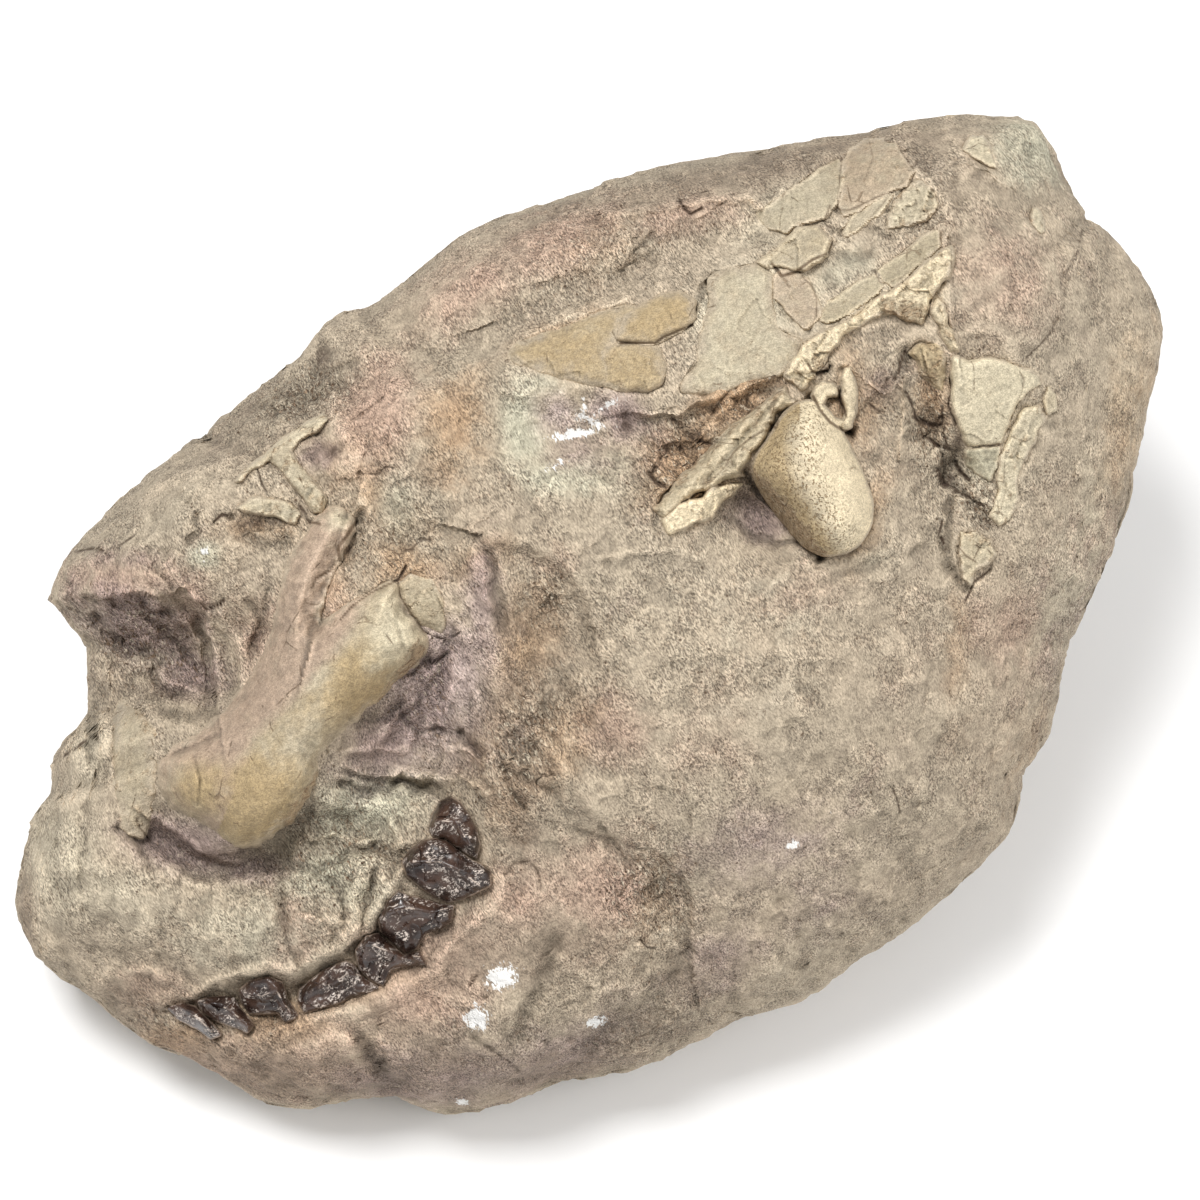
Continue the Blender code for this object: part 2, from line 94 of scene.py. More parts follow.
OUTLINE = [
    (-110.4, 0), (-109.6, 4), (-106, 10.4), (-100, 16), (-92, 23.4), (-86, 28), (-82, 32), (-79, 32.6),
    (-73, 39), (-65, 45), (-60, 49), (-55, 55), (-51, 57.6), (-48, 57.8), (-42, 61), (-36, 66.4),
    (-27, 73.6), (-22, 76), (-11, 79), (-2, 82.4), (8, 86), (20, 88), (32, 90), (48, 93), (54, 93.6),
    (58, 95), (62, 96.2), (74, 96.8), (83.6, 96.8), (87, 95), (89.2, 92), (93, 85), (96.6, 78.8),
    (97, 76.4), (101, 74.4), (104, 71), (108, 66), (112, 58), (112.6, 54), (111.4, 46), (109, 38),
    (106.6, 24), (103.6, 13), (99, 2), (94, -8), (91, -20), (89, -28), (85, -35), (83.6, -40), (82, -47),
    (76, -53), (66, -62), (54, -71), (40, -80), (28, -84), (18, -89), (6, -94), (-8, -96), (-20, -101),
    (-24, -102.4), (-34, -102), (-41, -99.4), (-50, -99.6), (-58, -101.8), (-66, -100.8), (-72, -97.4),
    (-81, -92.4), (-90, -89), (-100, -80.4), (-108, -75.6), (-113, -71), (-116.4, -64), (-117, -60),
    (-116, -53), (-113.6, -46), (-113.2, -43), (-110, -39), (-109.6, -36), (-110, -33), (-107, -28),
    (-102.4, -23), (-102.6, -16), (-102.4, -9), (-106, -4),
]

# Each bone and tooth: its height over the stone and its outline.
BONES = {
    "cheek_bone": (8.0, [
        (-86.8, -31.4), (-87.6, -35.2), (-86, -39.8), (-82, -42.2), (-78.4, -44), (-74.8, -47.2),
        (-72, -48.6), (-67.6, -47), (-63, -43.6), (-60, -40), (-57.2, -34.8), (-57.6, -30.4),
        (-54.8, -28.2), (-50.8, -24.2), (-46.8, -20.6), (-43.6, -18), (-40.6, -14.6), (-36.6, -11.2),
        (-34.8, -8.4), (-36.8, -5.8), (-39.2, -3), (-40.8, -0.2), (-41.4, 3), (-44.8, 1.6), (-48.8, -1),
        (-53.6, -4.4), (-57.6, -7.2), (-56.4, 0.8), (-53, 8.8), (-50.4, 14), (-51, 16.8), (-54.8, 18),
        (-58.8, 12), (-62, 6), (-63.2, 0.4), (-64.2, -5), (-66.2, -10.4), (-69, -16), (-72.2, -20.4),
        (-78.8, -27.2),
    ]),
    "cheek_end": (1.8, [
        (-40, 2.8), (-38, 4.6), (-34, 4), (-31.8, 0), (-31, -4.2), (-32, -6.2), (-35.8, -4.6), (-38.2, -2),
        (-39.8, 0.6),
    ]),
    "muzzle_plate": (1.6, [
        (-95.2, -22.2), (-92, -22.4), (-90, -26), (-90.2, -34), (-90.8, -40), (-91.8, -46), (-94.4, -45),
        (-96.4, -38), (-97.4, -30), (-96.8, -25.2),
    ]),
    "tooth_1": (3.6, [
        (-34, -45.8), (-33.2, -42.8), (-31.8, -40.6), (-29.8, -39.8), (-28.2, -40.8), (-26.6, -42.8),
        (-25, -45.8), (-24.4, -48.8), (-24.8, -51.4), (-26.4, -50.6), (-28.6, -49), (-30.8, -47.4),
        (-33.4, -47),
    ]),
    "tooth_2": (4.2, [
        (-39.2, -52.4), (-37.6, -50), (-35.2, -48.4), (-33, -48), (-30.8, -48.6), (-28.6, -50.2),
        (-26.4, -52), (-24, -53.2), (-22.4, -54.4), (-22.2, -56.8), (-24.4, -58), (-27.6, -59.6),
        (-30.4, -60.2), (-33, -59), (-36, -57), (-38.4, -55),
    ]),
    "tooth_3": (4.0, [
        (-44, -63.6), (-42.4, -60.6), (-40.2, -58.6), (-38.2, -59.6), (-36, -60), (-32.8, -60.8),
        (-29.6, -61.4), (-30, -64), (-32, -65.4), (-35, -66.4), (-37, -69.4), (-39, -70.2), (-41.2, -68.6),
        (-43.6, -66),
    ]),
    "tooth_4": (3.6, [
        (-48.6, -70.2), (-46.6, -67.6), (-44.4, -67), (-42, -69.2), (-39.4, -71.4), (-36.2, -70.6),
        (-35.2, -72.6), (-39.6, -73), (-42, -73.8), (-43.4, -76.8), (-45.6, -75.8), (-47.8, -73.8),
    ]),
    "tooth_5": (3.6, [
        (-60, -80.2), (-59.8, -78), (-57.4, -76), (-54.6, -74), (-51, -72.6), (-49.4, -73.2), (-47.2, -76),
        (-44.6, -77.6), (-46.8, -78.4), (-50, -79.2), (-53, -80.6), (-56.4, -81.6), (-59, -82.2),
    ]),
    "tooth_6": (3.4, [
        (-71.8, -78.2), (-69.6, -76.4), (-66.4, -75.6), (-63.8, -76.8), (-62.8, -79.8), (-60.8, -83.2),
        (-62.8, -84.2), (-64.4, -82.2), (-67.4, -82.4), (-70, -82.4), (-71.4, -80.4),
    ]),
    "tooth_7": (3.0, [
        (-80.2, -80.4), (-77.6, -79.6), (-73.4, -79.6), (-72.2, -81.8), (-69.6, -85), (-70.6, -86.2),
        (-73.6, -85), (-76.8, -83.8), (-79.2, -82.2),
    ]),
    "tooth_8": (2.6, [
        (-86.2, -81.6), (-83.6, -81), (-81.2, -81.6), (-79.2, -83.6), (-76.2, -86.8), (-77.8, -87.4),
        (-80.8, -85.2), (-84.2, -83.6),
    ]),
    "brow_bone": (3.0, [
        (-73.6, 22.8), (-72, 25.6), (-67.6, 28.8), (-64.8, 31.8), (-60, 34.8), (-55.6, 37.4), (-54.2, 36),
        (-56.4, 33.8), (-60, 31.8), (-62, 29.8), (-59.6, 26.8), (-56.8, 23.2), (-54.4, 20), (-55.2, 16.4),
        (-57.2, 17.4), (-60, 21), (-63.2, 25), (-66, 27.8), (-69.6, 25.8), (-72, 23.2),
    ]),
    "brow_chip": (2.2, [
        (-72.4, 18.4), (-69.6, 20.4), (-65.6, 20), (-62, 19.4), (-60, 17.6), (-60.8, 15.2), (-64.8, 16.4),
        (-67.6, 17.2), (-70.8, 17.6),
    ]),
    "temple_slab": (1.3, [
        (-18, 49.4), (-10.4, 53.2), (0, 56.8), (6.8, 58.8), (4, 55.6), (2.4, 52.4), (0.4, 50), (0.6, 46.8),
        (1.2, 44), (-2, 44.4), (-5.6, 45.2), (-10.4, 46), (-14.4, 47.4),
    ]),
    "temple_upper": (3.2, [
        (4.2, 52.6), (5.4, 56.2), (9, 58.4), (12.2, 60.4), (15.6, 61), (18.2, 59.4), (18.4, 56.6),
        (15.8, 54.4), (12.8, 53), (10.6, 52), (7.6, 51.8),
    ]),
    "temple_lower": (2.6, [
        (0.8, 49.4), (4, 50.8), (9.4, 50.6), (11.2, 49.4), (12, 46.8), (11.4, 44), (9.6, 42.6), (5.6, 42.6),
        (1.6, 43.8),
    ]),
    "roof_fan_left": (1.7, [
        (32, 77.4), (35, 79.4), (40, 82.6), (44, 85.6), (47.4, 87.8), (48, 84), (46.8, 79.6), (44.4, 76.8),
        (40.2, 76.4), (36.6, 74), (34.2, 74.6), (32.8, 75.8),
    ]),
    "roof_fan_top": (2.0, [
        (49, 87.4), (50.2, 89.6), (53.6, 91.8), (56, 91.6), (58.6, 90.6), (60.4, 88), (62.2, 85.6),
        (61, 83.2), (58.4, 82.4), (55.6, 80.8), (52, 78.4), (49.6, 77.4), (48.6, 79.2), (49.2, 83),
    ]),
    "roof_fan_right": (1.5, [
        (58.2, 75), (59.4, 79), (61.6, 81.8), (63.6, 83), (66.2, 81.4), (66.8, 79), (64.4, 76.6),
        (61, 75.6),
    ]),
    "roof_sliver": (1.3, [
        (49.4, 73.6), (50.8, 76.6), (54, 79), (57.8, 80.8), (56.6, 78.6), (53.6, 76), (51.2, 74.4),
    ]),
    "roof_raised": (3.2, [
        (31.4, 67.6), (35, 70), (39.6, 74.4), (43.4, 74.8), (46, 72), (45.4, 68.8), (41, 66.2), (39.2, 66),
        (36, 66.8), (33.6, 66.6),
    ]),
    "roof_pale": (1.3, [
        (17, 42.4), (20, 47), (20.8, 53), (23, 60), (22.4, 63.8), (27, 65.6), (31.8, 66.4), (33.8, 64.8),
        (33.4, 60), (34.4, 53.8), (38.8, 51), (39, 49), (36, 46), (30, 44.4), (27, 42.4), (22, 41.6),
    ]),
    "roof_flake": (1.3, [
        (35, 64.6), (37.8, 65.6), (40.8, 64), (42.8, 60), (43.4, 56.6), (41.2, 55.2), (38.2, 57.8),
        (35.4, 60.8),
    ]),
    "roof_long_left": (1.6, [
        (44.4, 56.4), (46, 59.8), (51, 62.8), (54.6, 64.6), (56.2, 62.8), (55.2, 61.4), (51, 58.4),
        (48, 56.4), (45.4, 55.6),
    ]),
    "roof_long_right": (1.7, [
        (55.8, 65.8), (60, 68.6), (64.4, 72), (67.2, 73.4), (67.6, 70.8), (64.8, 67.8), (61.6, 65.4),
        (58.6, 63.2), (57, 64),
    ]),
    "crest_bone": (3.4, [
        (69.4, 69.8), (70, 68.4), (68.6, 65), (66.2, 62), (65.2, 59), (64, 55.8), (61.6, 56.6),
        (59.6, 58.4), (56, 58.2), (52.4, 56.2), (48, 52.8), (45.2, 49.8), (42.4, 45.4), (40.6, 43.2),
        (38, 45.2), (39.2, 48.2), (41.8, 51.4), (46, 53.4), (50, 55.6), (55, 59.4), (60, 62), (63, 64.4),
        (66.4, 67.8),
    ]),
    "crest_leg": (2.2, [
        (67.4, 60.2), (68.8, 58), (70.4, 53.4), (71.4, 50.4), (70, 50), (68.6, 53.2), (66.8, 57.6),
    ]),
    "crown_chip": (2.0, [
        (72.6, 90), (74.2, 92.6), (76.6, 93), (78, 90.4), (79.2, 86.6), (77.4, 87.2), (75, 88.6),
    ]),
    "crown_sliver": (1.6, [(86.2, 78.2), (87.8, 78.4), (88.8, 75.2), (88.6, 73), (87.2, 74.4)]),
    "rod_bone": (7.5, [
        (39.4, 39.2), (36.6, 36.8), (34, 32), (30.4, 27.4), (31.8, 22.6), (36, 17), (40, 11.8), (43, 9.6),
        (47.2, 9), (51.4, 10.8), (54, 15), (54.4, 19.4), (52.4, 24.8), (49.6, 30.8), (45.8, 38),
        (42.6, 39.8),
    ]),
    "bar_bone": (4.4, [
        (36.8, 41.6), (38, 39.6), (35.2, 37.6), (33, 33.2), (28.4, 26.8), (27.6, 24.8), (24.4, 24),
        (16, 20), (12.8, 17), (11.2, 18.4), (18, 26), (27, 35),
    ]),
    "bar_chip": (3.6, [
        (12.8, 15.8), (16.2, 18.8), (25, 22.6), (28, 23.2), (23.8, 19.6), (22.4, 17.2), (17.2, 15.2),
        (13.8, 13.6),
    ]),
    "curl_bone": (3.0, [
        (43, 42.8), (44.6, 43.8), (46.4, 43.4), (47.8, 42.2), (47.4, 40.8), (45.6, 40.4), (44.8, 39),
        (45.6, 37.6), (47.2, 36.4), (48.6, 36), (49.2, 37.6), (48.4, 39.6), (48.4, 42), (48.2, 44.4),
        (48.8, 46.4), (50, 46.8), (50.8, 44.8), (51.4, 42.4), (51.4, 39.6), (51, 36.8), (50.4, 34.6),
        (48.8, 33.8), (46.8, 34.4), (44.8, 36), (43.2, 38.2), (42.4, 40.8),
    ]),
    "nape_ochre": (3.0, [
        (61.6, 49.4), (63.6, 51.4), (66.8, 51.8), (68.6, 49.8), (69, 45.6), (68.8, 41.4), (66.8, 42.6),
        (65, 44.4), (63.6, 47.2),
    ]),
    "nape_plate": (3.2, [
        (70.6, 48.6), (73.6, 48), (78, 48.4), (82, 47.4), (87.6, 44.8), (88.2, 43), (85.6, 41.6),
        (83.8, 39.8), (82, 36), (80.2, 31.4), (73.6, 30.8), (71.6, 35), (70.4, 40), (70, 44.8),
    ]),
    "nape_green": (2.4, [(73.4, 29.8), (79.6, 30.4), (79.2, 26.2), (77.8, 24.2), (75.4, 25.2), (73.6, 27)]),
    "nape_rim": (2.8, [
        (83.2, 34.4), (85, 38.2), (87, 38.2), (87.8, 36), (86, 32), (84, 28), (82.6, 24), (82.8, 20),
        (81.6, 16.6), (80, 15.8), (78.8, 17.2), (80.2, 22), (80.6, 27.6), (81.6, 31),
    ]),
    "nape_sliver": (2.2, [(89.6, 42.8), (91.2, 40.8), (91.4, 38), (89.6, 37.2), (88.8, 39.6)]),
    "nape_foot": (2.4, [
        (71.8, 14), (75, 13.6), (78, 12), (79.2, 9.4), (77.8, 7.6), (75.8, 7), (74, 3.4), (72.8, 4.2),
        (72.2, 8.4),
    ]),
}

# ---- drawing to object and back -------------------------------------------------------------------


def place(s, t, n):
    """Points at drawing positions s, t and heights n, in metres in the object's frame."""
    spread = 1 - n / EYE_DISTANCE
    flat = (s * spread)[:, None] * RIGHT + (t * spread)[:, None] * UP
    return (CENTRE + n[:, None] * OUT + flat) * MM


def drawn(points):
    """The drawing positions and heights of points in the object's frame."""
    away = points / MM - CENTRE
    n = away @ OUT
    spread = 1 - n / EYE_DISTANCE
    return away @ RIGHT / spread, away @ UP / spread, n


def flat_points(s, t):
    """Drawing positions as rows of three with no height, as the noise takes them."""
    return np.column_stack([np.ravel(s), np.ravel(t), np.zeros(np.size(s))])


# ---- strokes --------------------------------------------------------------------------------------


def swell(s, t, middle, size, height, turn=0.0):
    """A smooth oval rise, or a hollow where height is negative."""
    c, d = math.cos(math.radians(turn)), math.sin(math.radians(turn))
    u, v = s - middle[0], t - middle[1]
    return height * np.exp(-(((u * c + v * d) / size[0]) ** 2) - ((v * c - u * d) / size[1]) ** 2)


def patches(s, t, rows):
    """Soft oval patches, 0 to 1, from rows of middle, size, turn and strength."""
    total = np.zeros_like(s)
    for middle, size, turn, strength in rows:
        total = np.maximum(total, swell(s, t, middle, size, strength, turn))
    return total


def side_of(s, t, line):
    """Distance from a line of straight runs, positive on its left side."""
    best = np.full(np.shape(s), 1e9)
    signed = np.zeros(np.shape(s))
    for (s0, t0), (s1, t1) in zip(line, line[1:]):
        ds, dt = s1 - s0, t1 - t0
        along = np.clip(((s - s0) * ds + (t - t0) * dt) / (ds * ds + dt * dt), 0, 1)
        away = np.hypot(s - s0 - along * ds, t - t0 - along * dt)
        side = np.where(ds * (t - t0) - dt * (s - s0) >= 0, 1.0, -1.0)
        nearer = away < best
        signed = np.where(nearer, away * side, signed)
        best = np.minimum(best, away)
    return signed


def fold(s, t, line, width, height):
    """A rounded ridge along a line, or a groove where height is negative."""
    return height * np.exp(-((side_of(s, t, line) / width) ** 2))


def scarp(s, t, line, drop, width, reach):
    """A step down on the left of a line, which fades out over its reach and at the line's ends."""
    away = side_of(s, t, line)
    return -drop * 0.5 * (1 + np.tanh(away / width)) * np.exp(-((away / reach) ** 2))


def close_to(s, t, line, margin):
    """Which of the points are in the box round a line."""
    ps, pt = np.array(line).T
    beside = (s > ps.min() - margin) & (s < ps.max() + margin)
    return beside & (t > pt.min() - margin) & (t < pt.max() + margin)


def local(s, t, line, margin, stroke):
    """A stroke worked out only where it reaches."""
    total = np.zeros(np.shape(s))
    near = close_to(s, t, line, margin)
    if near.any():
        total[near] = stroke(s[near], t[near])
    return total


def inside(s, t, outline):
    """Distance from a closed outline, positive inside it."""
    ring = list(outline) + [outline[0]]
    away = np.abs(side_of(s, t, ring))
    within = np.zeros(np.shape(s), bool)
    for (s0, t0), (s1, t1) in zip(ring, ring[1:]):
        crosses = (t0 > t) != (t1 > t)
        with np.errstate(divide="ignore", invalid="ignore"):
            at = s0 + (t - t0) * (s1 - s0) / (t1 - t0)
        within ^= crosses & (s < at)
    return np.where(within, away, -away)


def corner_cut(outline, times):
    """An outline with its corners cut off again and again."""
    for _ in range(times):
        ring = list(outline) + [outline[0]]
        outline = []
        for (a, b), (c, d) in zip(ring, ring[1:]):
            outline.append((0.75 * a + 0.25 * c, 0.75 * b + 0.25 * d))
            outline.append((0.25 * a + 0.75 * c, 0.25 * b + 0.75 * d))
    return outline


def gathered(s, t):
    """Drawing positions drawn towards the thin cracks, so that a mesh is finer along them."""
    s, t = s.copy(), t.copy()
    thin_folds = [row for row in FOLDS if row[1] < 0.85]
    thin_steps = [row for row in SCARPS if row[2] <= 0.5]
    for line, *_ in CRACKS + thin_folds + thin_steps:
        near = close_to(s, t, line, 4)
        if near.any():
            a, b, h = s[near], t[near], 0.02
            away = np.abs(side_of(a, b, line))
            ds = (np.abs(side_of(a + h, b, line)) - away) / h
            dt = (np.abs(side_of(a, b + h, line)) - away) / h
            pull = 0.45 * away * np.exp(-((away / 1.6) ** 2))
            s[near], t[near] = a - pull * ds, b - pull * dt
    return s, t


def cracked(s, t):
    """1 in the thin cracks, which run through stone and bone alike, and how deep they are there."""
    mark, depth = np.zeros_like(s), np.zeros_like(s)
    for line, width, deep in CRACKS:
        near = close_to(s, t, line, 3 * width)
        if near.any():
            cut = np.exp(-((side_of(s[near], t[near], line) / width) ** 2))
            mark[near] = np.maximum(mark[near], cut * min(1, 0.25 + 0.9 * deep))
            depth[near] = np.maximum(depth[near], cut * deep)
    return mark, depth


# ---- noise ----------------------------------------------------------------------------------------

SHUFFLE = np.random.RandomState(7).permutation(4096)
SLOPES = np.random.RandomState(11).normal(size=(4096, 3))
SLOPES /= np.linalg.norm(SLOPES, axis=1)[:, None]


def grain(points, size, seed=0):
    """Smooth random values from about -1 to 1 at points in millimetres, with lumps of one size."""
    p = points / size + seed * 17.31
    cell = np.floor(p).astype(int)
    f = p - cell
    w = f * f * f * (f * (f * 6 - 15) + 10)
    total = np.zeros(len(p))
    for corner in range(8):
        step = np.array([corner & 1, corner >> 1 & 1, corner >> 2 & 1])
        c = (cell + step) & 4095
        pick = SHUFFLE[(SHUFFLE[(SHUFFLE[c[:, 0]] + c[:, 1]) & 4095] + c[:, 2]) & 4095]
        share = np.prod(np.where(step, w, 1 - w), axis=1)
        total += share * np.einsum("ij,ij->i", SLOPES[pick], f - step)
    return total * 1.6


def rough(points, size, octaves, keep=0.5, seed=0):
    """Noise with finer and finer lumps, each octave keep times as high."""
    total, height = np.zeros(len(points)), 1.0
    for i in range(octaves):
        total += height * grain(points, size / 2**i, seed + i)
        height *= keep
    return total


def facets(s, t, size, seed=0):
    """Chipped faces: each cell of an uneven pattern has its own height and tilt, from about -1 to 1."""
    a, b = s / size, t / size
    low_a, low_b = np.floor(a).astype(int), np.floor(b).astype(int)
    best, value = np.full(np.shape(s), 1e9), np.zeros(np.shape(s))
    for i in (-1, 0, 1):
        for j in (-1, 0, 1):
            pick = SHUFFLE[(SHUFFLE[(low_a + i + 13 * seed) & 4095] + low_b + j) & 4095]
            other = SHUFFLE[(pick + 7) & 4095]
            da, db = a - low_a - i - pick / 4096, b - low_b - j - other / 4096
            away = da * da + db * db
            nearer = away < best
            slope = SLOPES[pick]
            face = 0.7 * slope[..., 2] + 0.8 * (slope[..., 0] * da + slope[..., 1] * db)
            value = np.where(nearer, face, value)
            best = np.minimum(best, away)
    return value


# ---- relief of the exposed side -------------------------------------------------------------------

RIM_ANGLES, RIM_RADII = np.array(sorted((math.atan2(t, s), math.hypot(s, t)) for s, t in OUTLINE)).T


def reach_at(angle):
    """How far the outline is from the middle of the drawing at an angle."""
    return np.interp(angle, RIM_ANGLES, RIM_RADII, period=2 * math.pi)


def lumps(s, t, seed):
    """Slow natural unevenness, from -1 to 1."""
    flat_s, flat_t = np.ravel(s) / LUMP_LENGTH, np.ravel(t) / LUMP_LENGTH
    values = [noise.noise(Vector((a, b, seed))) for a, b in zip(flat_s, flat_t)]
    return np.reshape(values, np.shape(s))


def relief(s, t):
    """The big forms of the exposed side, as in the CAD."""
    return (
        # brow, its undercut and the eye socket below it
        swell(s, t, (-84, 14), (22, 9), 5, 38)
        + swell(s, t, (-86, -10), (15, 8), -7)
        + swell(s, t, (-78, -15), (12, 11), -6, -20)
        # muzzle, with the furrow between it and the cheek
        + swell(s, t, (-102, -48), (11, 18), 4)
        + fold(s, t, [(-88, -46), (-76, -54), (-62, -52), (-50, -46)], 7, -6)
        + swell(s, t, (-80, -66), (22, 8), 4, -10)
        # deep hollow behind the cheek bone, and the worn slope beyond it
        + swell(s, t, (-36, -28), (13, 18), -15, -25)
        + fold(s, t, [(-23, 12), (-22, -8), (-23, -20), (-14, -34), (-2, -42)], 6, 4)
        + swell(s, t, (-8, -16), (9, 22), -4, 20)
        # lower jaw: ledge under the teeth, chin bulge and the broad flat flank
        + fold(s, t, [(-84, -80), (-66, -80), (-48, -74), (-32, -60)], 5, -3)
        + swell(s, t, (-26, -90), (26, 11), 7, 12)
        + swell(s, t, (-68, -90), (18, 8), 3, -12)
        + swell(s, t, (42, -24), (44, 34), 5, -30)
        # skull roof: swollen edge, long groove and the sunken field of broken plates
        + swell(s, t, (-8, 68), (34, 9), 5, 22)
        + fold(s, t, [(-56, 40), (-28, 54), (4, 66), (30, 74)], 6, -4)
        + swell(s, t, (36, 62), (34, 14), -3, 32)
        + swell(s, t, (-38, 36), (16, 12), 4, 30)
        # ear region and the swollen back of the skull
        + swell(s, t, (-2, 32), (11, 9), -4)
        + swell(s, t, (20, 34), (15, 7), -4, 40)
        + swell(s, t, (31, 14), (10, 8), -5, -30)
        + swell(s, t, (68, 26), (8, 16), -5, 20)
        + swell(s, t, (83, 64), (13, 15), 7)
        + swell(s, t, (102, 50), (8, 18), -4)
    )

